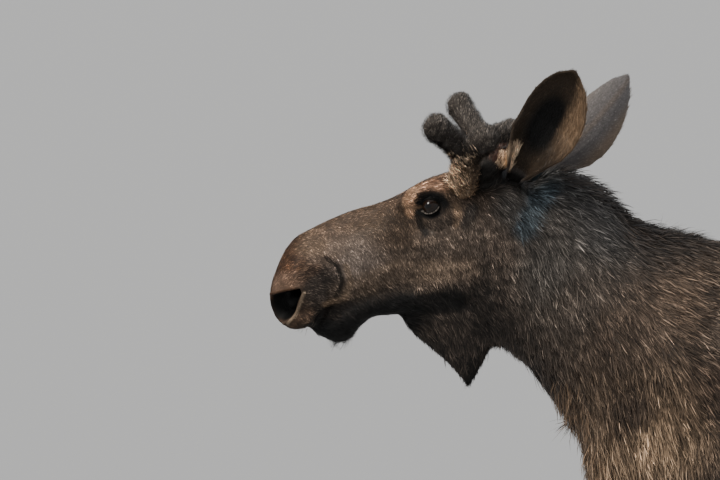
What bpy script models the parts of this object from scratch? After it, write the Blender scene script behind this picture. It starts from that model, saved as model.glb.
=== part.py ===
"""A young bull moose standing still, at life size: the solids of its body, parted where
a person would name its parts.

Metres, +Z up.  The moose faces -Y, its left side is towards +X, and it stands on z = 0.
The body is lofted from named girths, melted into one form, and parted with thin cuts.
A girth is one ring round the body: where its two ends lie in the side view (y, z),
and three half-widths, near the first end, at mid depth and near the second end.
"""

import math
from collections import namedtuple

import bmesh
import bpy
from mathutils import Matrix, Vector

# ---------------------------------------------------------------- driving dimensions
WITHERS = 1.78  # height of the hump's coat
HEAD_PITCH = math.radians(25)  # the face slopes down this much towards the nose
NOSE = (-1.078, WITHERS - 0.154)  # tip of the nose in the side view, y and z
EYE_AT = (0.423, 0.040)  # eye centre: back from the nose, above the face's axis
EYE_OUT = 0.078  # eye centre, out from the midline
EYE_RADIUS = 0.021
GAP = 0.0004  # clearance that touching pieces keep
CUT = 0.0005  # thickness of the cuts that part the body
CRUMB = 0.012  # a smaller piece is a crumb
SNAP = 0.0015  # points nearer than this to a cut are moved onto it
VOXEL, ANTLER_VOXEL = 0.008, 0.004  # how finely the forms are melted together
RING = 28  # points round a girth
STEPS = 4  # rings for each girth of a loft
FORE_STAGGER = {1: -0.035, -1: 0.055}  # how far each fore hoof stands back, by side
HIND_STAGGER = {1: 0.060, -1: -0.050}
LEAN_TOP = 1.15  # a leg leans forwards or back only below this height

Girth = namedtuple("Girth", "place first second upper middle lower")

# ---------------------------------------------------------------- the trunk and neck
TRUNK = [
    Girth("breast", (-0.300, 1.50), (-0.352, 1.15), 0.05, 0.09, 0.06),
    Girth("point of shoulder", (-0.20, 1.64), (-0.27, 1.075), 0.09, 0.155, 0.09),
    Girth("shoulder", (-0.04, 1.745), (-0.10, 1.015), 0.095, 0.195, 0.115),
    Girth("withers", (0.10, WITHERS), (0.06, 1.00), 0.085, 0.210, 0.125),
    Girth("behind elbow", (0.26, 1.745), (0.24, 1.01), 0.115, 0.228, 0.145),
    Girth("ribs", (0.48, 1.685), (0.48, 1.045), 0.150, 0.242, 0.165),
    Girth("last rib", (0.68, 1.662), (0.68, 1.10), 0.160, 0.238, 0.155),
    Girth("flank", (0.86, 1.666), (0.86, 1.175), 0.155, 0.208, 0.125),
    Girth("hip", (1.00, 1.655), (1.00, 1.215), 0.150, 0.192, 0.130),
    Girth("croup", (1.12, 1.600), (1.12, 1.235), 0.110, 0.165, 0.120),
    Girth("buttock", (1.195, 1.500), (1.19, 1.270), 0.050, 0.085, 0.065),
]
NECK = [
    Girth("inside the skull", (-0.50, 1.895), (-0.64, 1.570), 0.050, 0.075, 0.055),
    Girth("poll", (-0.445, 1.921), (-0.575, 1.537), 0.055, 0.092, 0.070),
    Girth("upper neck", (-0.355, 1.880), (-0.512, 1.485), 0.055, 0.112, 0.082),
    Girth("mid neck", (-0.270, 1.812), (-0.445, 1.402), 0.058, 0.135, 0.092),
    Girth("lower neck", (-0.170, 1.783), (-0.390, 1.320), 0.066, 0.160, 0.102),
    Girth("neck base", (-0.055, 1.760), (-0.372, 1.220), 0.080, 0.182, 0.110),
    Girth("inside the chest", (0.06, 1.755), (-0.30, 1.110), 0.085, 0.195, 0.115),
]

# -------------------------------------------------- the head, in its own axis: how far
# back from the nose, and how far above the axis the first and second ends lie
FACE = [
    Girth("nose front", (-0.002, -0.002), (-0.004, -0.048), 0.030, 0.042, 0.032),
    Girth("nose", (0.012, 0.024), (0.006, -0.070), 0.044, 0.063, 0.050),
    Girth("nostrils", (0.040, 0.055), (0.034, -0.087), 0.052, 0.074, 0.062),
    Girth("nose bulb", (0.078, 0.087), (0.070, -0.089), 0.054, 0.078, 0.066),
    Girth("lip", (0.112, 0.102), (0.110, -0.085), 0.050, 0.074, 0.062),
    Girth("nasal bridge", (0.155, 0.105), (0.155, -0.085), 0.040, 0.064, 0.052),
    Girth("mid muzzle", (0.205, 0.107), (0.205, -0.092), 0.036, 0.057, 0.050),
    Girth("upper muzzle", (0.255, 0.105), (0.255, -0.110), 0.037, 0.056, 0.050),
    Girth("before the eyes", (0.310, 0.097), (0.310, -0.130), 0.056, 0.064, 0.056),
    Girth("tear pits", (0.355, 0.095), (0.355, -0.150), 0.092, 0.076, 0.066),
    Girth("brow", (0.398, 0.098), (0.398, -0.168), 0.130, 0.088, 0.072),
    Girth("orbits", (0.435, 0.097), (0.432, -0.180), 0.138, 0.092, 0.078),
    Girth("temples", (0.475, 0.092), (0.470, -0.180), 0.120, 0.090, 0.082),
    Girth("crown", (0.525, 0.084), (0.515, -0.165), 0.066, 0.086, 0.080),
    Girth("ear roots", (0.575, 0.070), (0.560, -0.140), 0.060, 0.080, 0.070),
    Girth("occiput", (0.625, 0.035), (0.605, -0.105), 0.042, 0.062, 0.052),
]
JAW = [
    Girth("lip edge", (0.058, -0.094), (0.056, -0.106), 0.018, 0.026, 0.020),
    Girth("lower lip", (0.068, -0.086), (0.070, -0.124), 0.028, 0.036, 0.028),
    Girth("chin", (0.092, -0.080), (0.094, -0.147), 0.036, 0.045, 0.034),
    Girth("chin pad", (0.116, -0.078), (0.118, -0.154), 0.038, 0.047, 0.034),
    Girth("behind chin", (0.148, -0.078), (0.148, -0.141), 0.036, 0.043, 0.032),
    Girth("jaw bar", (0.190, -0.078), (0.188, -0.130), 0.034, 0.041, 0.032),
    Girth("mid jaw", (0.235, -0.080), (0.230, -0.143), 0.036, 0.044, 0.036),
    Girth("cheek front", (0.290, -0.080), (0.285, -0.160), 0.042, 0.053, 0.042),
    Girth("cheek", (0.350, -0.080), (0.345, -0.180), 0.052, 0.066, 0.050),
    Girth("jaw angle", (0.415, -0.080), (0.410, -0.196), 0.060, 0.076, 0.054),
    Girth("behind jaw", (0.465, -0.085), (0.460, -0.192), 0.058, 0.074, 0.048),
    Girth("jaw end", (0.505, -0.095), (0.500, -0.170), 0.045, 0.055, 0.036),
]
BELL = [  # the dewlap: first is its front edge, second its back edge, from top to tip
    Girth("inside the throat", (-0.800, 1.640), (-0.540, 1.600), 0.030, 0.050, 0.040),
    Girth("bell root", (-0.786, 1.578), (-0.563, 1.548), 0.022, 0.042, 0.036),
    Girth("bell fold", (-0.748, 1.542), (-0.586, 1.526), 0.016, 0.032, 0.026),
    Girth("mid bell", (-0.708, 1.510), (-0.602, 1.502), 0.012, 0.024, 0.020),
    Girth("bell point", (-0.668, 1.474), (-0.617, 1.472), 0.010, 0.016, 0.013),
    Girth("bell tip", (-0.647, 1.446), (-0.630, 1.446), 0.004, 0.007, 0.005),
]
TAIL = [  # first is its back, second its underside
    Girth("inside the croup", (1.130, 1.575), (1.130, 1.500), 0.018, 0.026, 0.020),
    Girth("tail root", (1.205, 1.545), (1.185, 1.475), 0.017, 0.026, 0.020),
    Girth("tail middle", (1.236, 1.500), (1.204, 1.440), 0.012, 0.022, 0.017),
    Girth("tail tip", (1.244, 1.444), (1.226, 1.420), 0.006, 0.011, 0.008),
]

# ---------------------------------------------------------------- the legs
# A leg's girths lie flat: first is its front and second its back.  out is the distance
# of the leg's middle from the midline.
FORELEG_OUT = {0.0: 0.125, 0.60: 0.132, 1.10: 0.138, 1.50: 0.110}  # by height
FORELEG = [
    Girth("shoulder blade", (-0.100, 1.56), (0.105, 1.56), 0.045, 0.070, 0.055),
    Girth("shoulder joint", (-0.190, 1.37), (0.130, 1.37), 0.060, 0.085, 0.070),
    Girth("upper arm", (-0.195, 1.23), (0.160, 1.20), 0.062, 0.088, 0.068),
    Girth("elbow", (-0.140, 1.09), (0.162, 1.08), 0.058, 0.078, 0.050),
    Girth("forearm", (-0.108, 0.98), (0.108, 0.98), 0.050, 0.064, 0.044),
    Girth("mid forearm", (-0.086, 0.85), (0.072, 0.85), 0.044, 0.052, 0.038),
    Girth("low forearm", (-0.067, 0.71), (0.050, 0.71), 0.037, 0.042, 0.033),
    Girth("above knee", (-0.064, 0.63), (0.047, 0.63), 0.039, 0.043, 0.034),
    Girth("knee", (-0.068, 0.565), (0.052, 0.565), 0.043, 0.046, 0.036),
    Girth("below knee", (-0.056, 0.49), (0.046, 0.49), 0.034, 0.038, 0.031),
    Girth("cannon", (-0.044, 0.41), (0.038, 0.41), 0.027, 0.031, 0.027),
    Girth("low cannon", (-0.040, 0.27), (0.038, 0.27), 0.025, 0.029, 0.025),
    Girth("fetlock", (-0.050, 0.165), (0.050, 0.165), 0.031, 0.037, 0.033),
    Girth("pastern", (-0.066, 0.115), (0.034, 0.105), 0.031, 0.036, 0.033),
    Girth("coronet", (-0.092, 0.078), (0.026, 0.052), 0.034, 0.045, 0.040),
    Girth("inside the hoof", (-0.098, 0.052), (0.020, 0.028), 0.030, 0.040, 0.034),
]
HINDLEG_OUT = {0.0: 0.118, 0.67: 0.118, 1.10: 0.125, 1.50: 0.095}
HINDLEG = [
    Girth("hip joint", (0.880, 1.52), (1.175, 1.52), 0.050, 0.080, 0.055),
    Girth("thigh", (0.835, 1.36), (1.205, 1.36), 0.058, 0.094, 0.068),
    Girth("low thigh", (0.822, 1.22), (1.185, 1.22), 0.058, 0.090, 0.064),
    Girth("stifle", (0.828, 1.09), (1.130, 1.09), 0.056, 0.078, 0.052),
    Girth("gaskin", (0.872, 0.96), (1.105, 0.98), 0.048, 0.064, 0.042),
    Girth("low gaskin", (0.950, 0.84), (1.112, 0.88), 0.040, 0.050, 0.032),
    Girth("above hock", (1.010, 0.755), (1.142, 0.79), 0.036, 0.042, 0.025),
    Girth("hock", (1.035, 0.675), (1.165, 0.71), 0.041, 0.044, 0.028),
    Girth("below hock", (1.038, 0.605), (1.145, 0.615), 0.036, 0.040, 0.029),
    Girth("cannon", (1.034, 0.49), (1.112, 0.49), 0.029, 0.033, 0.027),
    Girth("low cannon", (1.018, 0.29), (1.092, 0.29), 0.026, 0.030, 0.025),
    Girth("fetlock", (0.996, 0.172), (1.094, 0.172), 0.031, 0.037, 0.033),
    Girth("pastern", (0.976, 0.120), (1.074, 0.108), 0.031, 0.036, 0.033),
    Girth("coronet", (0.946, 0.078), (1.062, 0.052), 0.034, 0.045, 0.040),
    Girth("inside the hoof", (0.940, 0.052), (1.056, 0.028), 0.030, 0.040, 0.034),
]

# ---------------------------------------------------------------- hooves
TOE_LENGTH, TOE_WIDTH = 0.140, 0.050
TOE_OUT = 0.019  # how far each toe stands from the foot's middle
TOE_SPLAY = math.radians(5)
DEWCLAW_LENGTH, DEWCLAW_RADIUS = 0.046, 0.013
DEWCLAW_OUT, DEWCLAW_ABOVE = 0.020, 0.058  # from the back of the coronet
DEWCLAW_TILT = math.radians(38)

# ---------------------------------------------------------------- antlers and ears
Antler = namedtuple("Antler", "foot fork front rear")  # out, y and z of each
ANTLERS = {  # the foot is inside the brow, and front and rear are the knobs' middles
    1: Antler(
        (0.064, -0.645, 1.882),
        (0.150, -0.628, 1.962),
        (0.222, -0.684, 2.020),
        (0.205, -0.578, 1.992),
    ),
    -1: Antler(
        (0.064, -0.645, 1.882),
        (0.150, -0.628, 1.968),
        (0.222, -0.684, 2.038),
        (0.205, -0.572, 1.984),
    ),
}
BEAM_RADIUS, FORK_RADIUS, FRONT_RADIUS, REAR_RADIUS = 0.030, 0.036, 0.0325, 0.030
FOOT_RADII = (0.032, 0.034)  # of the stem, inside the skull and at the foot
TINE_CUT, TINE_CUT_WIDTH = 0.053, 0.086  # how far past the fork a tine is cut off

# Where an ear's root and tip are, which way its cup opens, half its breadth, how far its
# middle bows to the side, and how near the tip it is widest (1 is half way).
EarPose = namedtuple("EarPose", "root tip faces width bow late")
EARS = {
    1: EarPose(
        (0.060, -0.533, 1.893),
        (0.158, -0.392, 2.142),
        (0.93, -0.36, -0.10),
        width=0.070,
        bow=0.009,
        late=1.75,
    ),
    -1: EarPose(
        (-0.060, -0.520, 1.893),
        (-0.165, -0.305, 2.114),
        (-0.95, -0.30, 0.1),
        width=0.059,
        bow=-0.026,
        late=1.35,
    ),
}
EAR_SKIN = 0.006  # thickness of its rim, coat included


# ================================================================ small tools
def clear_scene():
    for old in list(bpy.data.objects):
        bpy.data.objects.remove(old, do_unlink=True)


def add_object(name, mesh, collection):
    made = bpy.data.objects.new(name, mesh)
    collection.objects.link(made)
    return made


def mesh_from(bm, name):
    bmesh.ops.recalc_face_normals(bm, faces=bm.faces)
    mesh = bpy.data.meshes.new(name)
    bm.to_mesh(mesh)
    bm.free()
    return mesh


def evaluate(obj):
    """Replaces the object's mesh by what its modifiers make of it."""
    graph = bpy.context.evaluated_depsgraph_get()
    made = bpy.data.meshes.new_from_object(obj.evaluated_get(graph))
    obj.modifiers.clear()
    obj.data = made
    return obj


def by_height(table, z):
    """The table's value at height z, along straight lines between its entries."""
    heights = sorted(table)
    z = min(max(z, heights[0]), heights[-1])
    for low, high in zip(heights, heights[1:]):
        if z <= high:
            share = (z - low) / (high - low)
            return table[low] * (1 - share) + table[high] * share
    return table[heights[-1]]


def spline(rows, share):
    """Catmull-Rom through rows of numbers, at share from 0 to 1 of their count."""
    at = share * (len(rows) - 1)
    i = min(int(at), len(rows) - 2)
    t = at - i
    p0, p1 = rows[max(i - 1, 0)], rows[i]
    p2, p3 = rows[i + 1], rows[min(i + 2, len(rows) - 1)]
    return [
        b + t / 2 * (c - a + t * (2 * a - 5 * b + 4 * c - d + t * (3 * (b - c) + d - a)))
        for a, b, c, d in zip(p0, p1, p2, p3)
    ]


# ================================================================ lofted flesh
def ring_points(first, second, upper, middle, lower, out):
    """Points round one girth: a pear-like oval, first end to second end and back."""
    middle_at = (Vector(first) + Vector(second)) / 2
    half = (Vector(first) - Vector(second)) / 2
    points = []
    for k in range(RING):
        angle = 2 * math.pi * k / RING
        along, across = math.cos(angle), math.sin(angle)
        end = upper if along > 0 else lower
        width = middle * across**2 + end * along**2
        side = math.copysign(abs(across) ** 0.85, across)
        y, z = middle_at + half * along
        points.append(Vector((out + width * side, y, z)))
    return points


def loft(name, girths, collection, place=None, out=None):
    """A closed skin through the girths, smoothed along them."""
    rows = [(*g.first, *g.second, g.upper, g.middle, g.lower) for g in girths]
    rings = STEPS * len(rows)
    bm = bmesh.new()
    loops = []
    for k in range(rings + 1):
        y1, z1, y2, z2, upper, middle, lower = spline(rows, k / rings)
        first, second = (y1, z1), (y2, z2)
        if place:
            first, second = place(first), place(second)
        centre = by_height(out, (z1 + z2) / 2) if out else 0.0
        ring = ring_points(first, second, upper, middle, lower, centre)
        loops.append([bm.verts.new(p) for p in ring])
    for one, two in zip(loops, loops[1:]):
        for k in range(RING):
            j = (k + 1) % RING
            bm.faces.new((one[k], one[j], two[j], two[k]))
    bm.faces.new(loops[0])
    bm.faces.new(loops[-1])
    bmesh.ops.triangulate(bm, faces=[f for f in bm.faces if len(f.verts) > 4])
    return add_object(name, mesh_from(bm, name), collection)


def head_place(point):
    """From the head's own axis to the side view's y and z."""
    back, above = point
    c, s = math.cos(HEAD_PITCH), math.sin(HEAD_PITCH)
    return (NOSE[0] + back * c - above * s, NOSE[1] + back * s + above * c)


def leaning(stagger):
    """Moves a leg's points forwards or back, more the nearer they are to the floor."""

    def place(point):
        y, z = point
        return (y + stagger * max(0.0, 1 - z / LEAN_TOP), z)

    return place


def leg_loft(name, girths, out, side, stagger, collection):
    sided = {height: side * distance for height, distance in out.items()}
    return loft(name, girths, collection, leaning(stagger), sided)


def lump(name, centre, radii, collection, pitch=0.0, around=20):
    """A muscle or bone that swells the surface: an ellipsoid, in the head's place."""
    bm = bmesh.new()
    bmesh.ops.create_uvsphere(
        bm, u_segments=around, v_segments=around * 2 // 3, radius=1
    )
    bmesh.ops.transform(
        bm,
        verts=bm.verts,
        matrix=Matrix.Translation(centre)
        @ Matrix.Rotation(pitch, 4, "X")
        @ Matrix.Diagonal((*radii, 1)),
    )
    return add_object(name, mesh_from(bm, name), collection)


def on_head(back, above, out):
    y, z = head_place((back, above))
    return Vector((out, y, z))


def head_lumps(collection):
    """Brows, nostril wings, lips and cheeks, on both sides of the head."""
    made = []
    for side in (1, -1):
        for name, (back, above, out), radii in (
            ("brow", (0.408, 0.071, 0.068), (0.025, 0.056, 0.024)),
            ("brow_end", (0.452, 0.056, 0.074), (0.022, 0.038, 0.024)),
            ("cheekbone", (0.405, -0.020, 0.072), (0.024, 0.060, 0.022)),
            ("nostril_wing", (0.098, -0.020, 0.052), (0.027, 0.042, 0.042)),
            ("nostril_rim", (0.042, 0.008, 0.044), (0.022, 0.032, 0.024)),
            ("upper_lip", (0.062, -0.066, 0.044), (0.024, 0.052, 0.022)),
            ("cheek_muscle", (0.400, -0.110, 0.056), (0.026, 0.066, 0.058)),
        ):
            centre = on_head(back, above, side * out)
            made.append(lump(name, centre, radii, collection, HEAD_PITCH))
    return made


# ================================================================ melting and thinning
def joined(objects, name, collection):
    bm = bmesh.new()
    for obj in objects:
        bm.from_mesh(obj.data)
        bpy.data.objects.remove(obj, do_unlink=True)
    mesh = bpy.data.meshes.new(name)
    bm.to_mesh(mesh)
    bm.free()
    return add_object(name, mesh, collection)


def weigh(obj, name, weight):
    """A vertex group whose weights come from a function of the vertex's place."""
    group = obj.vertex_groups.new(name=name)
    for vertex in obj.data.vertices:
        value = min(1.0, max(0.0, weight(vertex.co)))
        if value > 0:
            group.add([vertex.index], value, "REPLACE")
    return group


# Where two lofts meet, and how wide their join is rounded.
JOINS = {
    "neck into chest": ((0.0, -0.16, 1.45), 0.34),
    "elbow": ((0.13, 0.02, 1.09), 0.22),
    "shoulder": ((0.16, -0.05, 1.45), 0.26),
    "flank": ((0.14, 0.86, 1.18), 0.20),
    "hip": ((0.14, 1.02, 1.48), 0.26),
    "throat": ((0.05, -0.58, 1.60), 0.10),
    "jaw into neck": ((0.09, -0.54, 1.74), 0.13),
    "jaw into bell": ((0.05, -0.68, 1.60), 0.09),
    "rump into tail": ((0.03, 1.17, 1.50), 0.07),
}


def near_join(point):
    here = Vector((abs(point.x), point.y, point.z))
    return max(
        1.3 * (1 - (here - Vector(centre)).length / reach)
        for centre, reach in JOINS.values()
    )


def melt(obj):
    """One smooth closed skin round everything in obj."""
    remesh = obj.modifiers.new("melt", "REMESH")
    remesh.mode = "VOXEL"
    remesh.voxel_size = VOXEL
    evaluate(obj)
    weigh(obj, "joins", near_join)
    fine = obj.modifiers.new("soften", "SMOOTH")
    fine.factor, fine.iterations = 0.5, 6
    wide = obj.modifiers.new("round the joins", "SMOOTH")
    wide.factor, wide.iterations, wide.vertex_group = 0.5, 60, "joins"
    return evaluate(obj)


def thin(obj, triangles):
    """Faces all turned outwards, and fewer of them where the shape needs them least."""
    bm = bmesh.new()
    bm.from_mesh(obj.data)
    bmesh.ops.recalc_face_normals(bm, faces=bm.faces)
    if bm.calc_volume(signed=True) < 0:
        bmesh.ops.reverse_faces(bm, faces=bm.faces)
    bm.to_mesh(obj.data)
    bm.free()
    now = sum(len(face.vertices) - 2 for face in obj.data.polygons)
    fewer = obj.modifiers.new("thin", "DECIMATE")
    fewer.ratio = min(1.0, triangles / now)
    fewer.use_collapse_triangulate = True
    return evaluate(obj)


# ================================================================ parting the body
# A cut runs across the body, square to the side view: the two ends of its line there,
# and how far it reaches to each side of x.
Cut = namedtuple("Cut", "start end reach x", defaults=(0.40, 0.0))


BODY_CUTS = {
    "behind the head": Cut((-0.400, 2.000), (-0.568, 1.500), 0.16),
    "above the bell": Cut((-0.860, 1.597), (-0.560, 1.526), 0.10),
    "neck from chest": Cut((-0.045, 1.860), (-0.450, 1.180)),
    "chest from barrel": Cut((0.270, 1.900), (0.270, 0.900)),
    "barrel from rump": Cut((0.740, 1.900), (0.800, 1.020)),
    "before the tail": Cut((1.150, 1.640), (1.222, 1.420), 0.034),
    "forelegs": Cut((-0.250, 0.985), (0.260, 0.985)),
    "knees": Cut((-0.200, 0.565), (0.220, 0.565)),
    "hind legs": Cut((0.700, 1.130), (1.350, 1.130)),
    "hocks": Cut((0.880, 0.640), (1.350, 0.700)),
}
JAW_CUT = ((-0.10, -0.092), (0.85, -0.092))  # on the head's own axis
Piece = namedtuple("Piece", "out y z triangles")  # a point near the piece's middle
PIECES = {
    "head": Piece(0, -0.80, 1.76, 1600),
    "neck": Piece(0, -0.33, 1.62, 420),
    "bell": Piece(0, -0.68, 1.53, 180),
    "chest": Piece(0, 0.02, 1.42, 720),
    "barrel": Piece(0, 0.53, 1.37, 340),
    "rump": Piece(0, 0.98, 1.42, 600),
    "tail": Piece(0, 1.21, 1.48, 90),
}
LIMB_PIECES = {
    "foreleg_upper": Piece(0.135, 0.00, 0.77, 180),
    "foreleg_lower": Piece(0.130, 0.01, 0.29, 210),
    "hindleg_upper": Piece(0.120, 1.02, 0.89, 200),
    "hindleg_lower": Piece(0.118, 1.07, 0.34, 210),
}
JAW_TRIANGLES, ANTLER_TRIANGLES = 460, 240
SIDES = {1: "left", -1: "right"}


def as_cutter(obj):
    obj.hide_render = True
    obj.display_type = "WIRE"
    return obj


def saw(obj, cuts):
    """Opens the skin along each cut, and draws the two sides apart."""
    bm = bmesh.new()
    bm.from_mesh(obj.data)
    for cut in cuts:
        start, end = Vector((0, *cut.start)), Vector((0, *cut.end))
        along = (end - start).normalized()
        normal = Vector((1, 0, 0)).cross(along)

        def reached(vertex):
            run = (vertex.co - start).dot(along)
            return 0 < run < (end - start).length and abs(vertex.co.x - cut.x) < cut.reach

        def side_of(vertex):
            away = sum((f.calc_center_median() - start).dot(normal) for f in vertex.link_faces)
            return math.copysign(1, away)

        faces = {face for face in bm.faces if all(reached(v) for v in face.verts)}
        edges = {edge for face in faces for edge in face.edges}
        vertices = {vertex for face in faces for vertex in face.verts}
        found = bmesh.ops.bisect_plane(
            bm,
            geom=[*faces, *edges, *vertices],
            dist=SNAP,
            plane_co=start,
            plane_no=normal,
        )
        line = [e for e in found["geom_cut"] if isinstance(e, bmesh.types.BMEdge)]
        line = bmesh.ops.split_edges(bm, edges=line)["edges"]
        for vertex in {vertex for edge in line for vertex in edge.verts}:
            off_plane = (vertex.co - start).dot(normal)
            vertex.co += normal * (side_of(vertex) * CUT / 2 - off_plane)
    bmesh.ops.holes_fill(bm, edges=[e for e in bm.edges if e.is_boundary], sides=0)
    bm.to_mesh(obj.data)
    bm.free()
    return obj


def subtract(obj, cutters):
    for cutter in cutters:
        boolean = obj.modifiers.new(cutter.name, "BOOLEAN")
        boolean.operation = "DIFFERENCE"
        boolean.object = cutter
    return evaluate(obj)


def loose_pieces(obj):
    """Separates what no longer hangs together, and drops crumbs from the cuts."""
    bpy.ops.object.select_all(action="DESELECT")
    obj.select_set(True)
    bpy.context.view_layer.objects.active = obj
    bpy.ops.mesh.separate(type="LOOSE")
    pieces = list(bpy.context.selected_objects)
    for crumb in [piece for piece in pieces if max(piece.dimensions) < CRUMB]:
        pieces.remove(crumb)
        bpy.data.objects.remove(crumb, do_unlink=True)
    return pieces


def middle_of(obj):
    corners = [v.co for v in obj.data.vertices]
    low = Vector(min(c[i] for c in corners) for i in range(3))
    high = Vector(max(c[i] for c in corners) for i in range(3))
    return (low + high) / 2


def name_pieces(pieces, markers):
    """Names each piece after the marker nearest to its middle: one piece a marker."""
    named = {}
    for piece in pieces:
        here = middle_of(piece)
        name = min(markers, key=lambda n: (Vector(markers[n]) - here).length)
        piece.name = name
        named[name] = piece
    if len(pieces) != len(markers) or len(named) != len(markers):
        raise ValueError(f"{len(pieces)} pieces for {len(markers)} markers: {named}")
    return named


def all_pieces():
    pieces = dict(PIECES)
    for side, word in SIDES.items():
        for name, piece in LIMB_PIECES.items():
            pieces[f"{word}_{name}"] = piece._replace(out=side * piece.out)
    return pieces


# ================================================================ feet
# The leg ends, and the hoof starts, on a slanting plane through the coronet.
FORE_CORONET = ((-0.092, 0.080), (0.026, 0.054))
HIND_CORONET = ((0.946, 0.080), (1.062, 0.054))
STUMP_HEIGHT = 0.07  # a piece whose middle is lower is the leg's end, inside the hoof
PAST_CORONET, FOOT_REACH = 0.06, 0.08  # how far its cut goes on, lengthwise and sideways
TOE_RINGS = (  # share of the toe's height, size, and how far the ring is shifted back
    (0.0, 1.00, -0.016),
    (0.45, 0.96, -0.008),
    (0.90, 0.87, 0.002),
    (1.0, 0.82, 0.004),
)


def feet():
    """Each foot: its name, the two ends of its coronet in the side view, and its x."""
    for side, word in SIDES.items():
        for limb, coronet, out, stagger in (
            ("foreleg", FORE_CORONET, FORELEG_OUT, FORE_STAGGER),
            ("hindleg", HIND_CORONET, HINDLEG_OUT, HIND_STAGGER),
        ):
            lean = leaning(stagger[side])
            yield f"{word}_{limb}", lean(coronet[0]), lean(coronet[1]), side * out[0.0]


def coronet_cut(name, front, back, x):
    """Where the leg's end is cut off for the hoof."""
    past = (Vector(back) - Vector(front)).normalized() * PAST_CORONET
    start, end = Vector(front) - past, Vector(back) + past
    return Cut(tuple(start), tuple(end), FOOT_REACH, x)


def toe_outline(length, width, points=12):
    """Half a hoof from above: flat towards its twin, pointed in front, round behind."""
    ring = []
    for k in range(points):
        angle = 2 * math.pi * k / points
        across = math.cos(angle)
        along = math.sin(angle)
        taper = 1 - 0.50 * max(0.0, along) ** 2.2
        side = 0.72 * across if across > 0 else -0.30 * abs(across) ** 0.4
        ring.append((side * taper * width, -along * length / 2))
    return ring


def toe(name, front, back, x, twin, collection):
    """One of a foot's two toes: a horny wedge, flat underneath.  twin is the way, along
    x, to the other one."""
    middle = (front[0] + back[0]) / 2
    slope = (back[1] - front[1]) / (back[0] - front[0])
    bm = bmesh.new()
    rings = []
    for height, scale, back_shift in TOE_RINGS:
        ring = []
        for px, py in toe_outline(TOE_LENGTH * scale, TOE_WIDTH * scale):
            turned = Matrix.Rotation(-twin * TOE_SPLAY, 2) @ Vector((-twin * px, py))
            y = middle + back_shift + turned.y
            top = front[1] + slope * (y - front[0]) - GAP
            ring.append(bm.verts.new((x - twin * TOE_OUT + turned.x, y, height * top)))
        rings.append(ring)
    for one, two in zip(rings, rings[1:]):
        for k in range(len(one)):
            j = (k + 1) % len(one)
            bm.faces.new((one[k], one[j], two[j], two[k]))
    bm.faces.new(rings[0])
    bm.faces.new(rings[-1])
    return add_object(name, mesh_from(bm, name), collection)


def dewclaw(name, back, x, out, collection):
    """A small claw behind the pastern, out to one side of the foot's middle."""
    centre = Vector((x + out * DEWCLAW_OUT, back[0], back[1] + DEWCLAW_ABOVE))
    bm = bmesh.new()
    bmesh.ops.create_uvsphere(bm, u_segments=7, v_segments=5, radius=1)
    bmesh.ops.transform(
        bm,
        verts=bm.verts,
        matrix=Matrix.Translation(centre)
        @ Matrix.Rotation(DEWCLAW_TILT, 4, "X")
        @ Matrix.Diagonal((DEWCLAW_RADIUS, DEWCLAW_RADIUS, DEWCLAW_LENGTH / 2, 1)),
    )
    return add_object(name, mesh_from(bm, name), collection)


# ================================================================ ears
def ear(name, pose, collection):
    """A leaf rolled into a cup: wrapped almost round at its root, open at its tip."""
    root, tip = Vector(pose.root), Vector(pose.tip)
    axis = (tip - root).normalized()
    facing = Vector(pose.faces)
    facing = (facing - axis * facing.dot(axis)).normalized()
    across = axis.cross(facing)
    length = (tip - root).length
    rows, columns = 10, 7
    bm = bmesh.new()
    grid = []
    for i in range(rows + 1):
        u = i / rows
        swell = math.sin(math.pi * min(1.0, 0.24 + 0.76 * u) ** pose.late) ** 0.72
        half = 0.004 + pose.width * swell * (0.48 + 0.52 * min(1.0, u / 0.40) ** 1.2)
        wrap = math.radians(300 - 175 * min(1.0, u / 0.5) ** 0.8 - 45 * u)
        radius = half / math.sin(min(wrap / 2, math.pi / 2))
        bow = pose.bow * math.sin(math.pi * u)
        back = axis * length * u - facing * 0.35 * radius + across * bow
        line = []
        for j in range(columns + 1):
            angle = (2 * j / columns - 1) * wrap / 2
            curve = across * math.sin(angle) + facing * (1 - math.cos(angle))
            line.append(bm.verts.new(root + back + curve * radius))
        grid.append(line)
    for one, two in zip(grid, grid[1:]):
        for j in range(columns):
            bm.faces.new((one[j], one[j + 1], two[j + 1], two[j]))
    made = add_object(name, mesh_from(bm, name), collection)
    shell = made.modifiers.new("thickness", "SOLIDIFY")
    shell.thickness = EAR_SKIN
    shell.offset = 0
    return evaluate(made)


# ================================================================ antlers
def tube(name, points, radii, collection):
    """A round bar through the points, with its own radius at each, and round ends."""
    curve = bpy.data.curves.new(name, "CURVE")
    curve.dimensions = "3D"
    curve.bevel_depth = 1.0
    curve.bevel_resolution = 4
    curve.use_fill_caps = True
    line = curve.splines.new("POLY")
    line.points.add(len(points) - 1)
    for spot, place, radius in zip(line.points, points, radii):
        spot.co = (*place, 1)
        spot.radius = radius
    made = bpy.data.objects.new(name, curve)
    collection.objects.link(made)
    graph = bpy.context.evaluated_depsgraph_get()
    mesh = bpy.data.meshes.new_from_object(made.evaluated_get(graph))
    bpy.data.objects.remove(made, do_unlink=True)
    return add_object(name, mesh, collection)


def mirrored(point, side):
    return Vector((side * point[0], point[1], point[2]))


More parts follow.
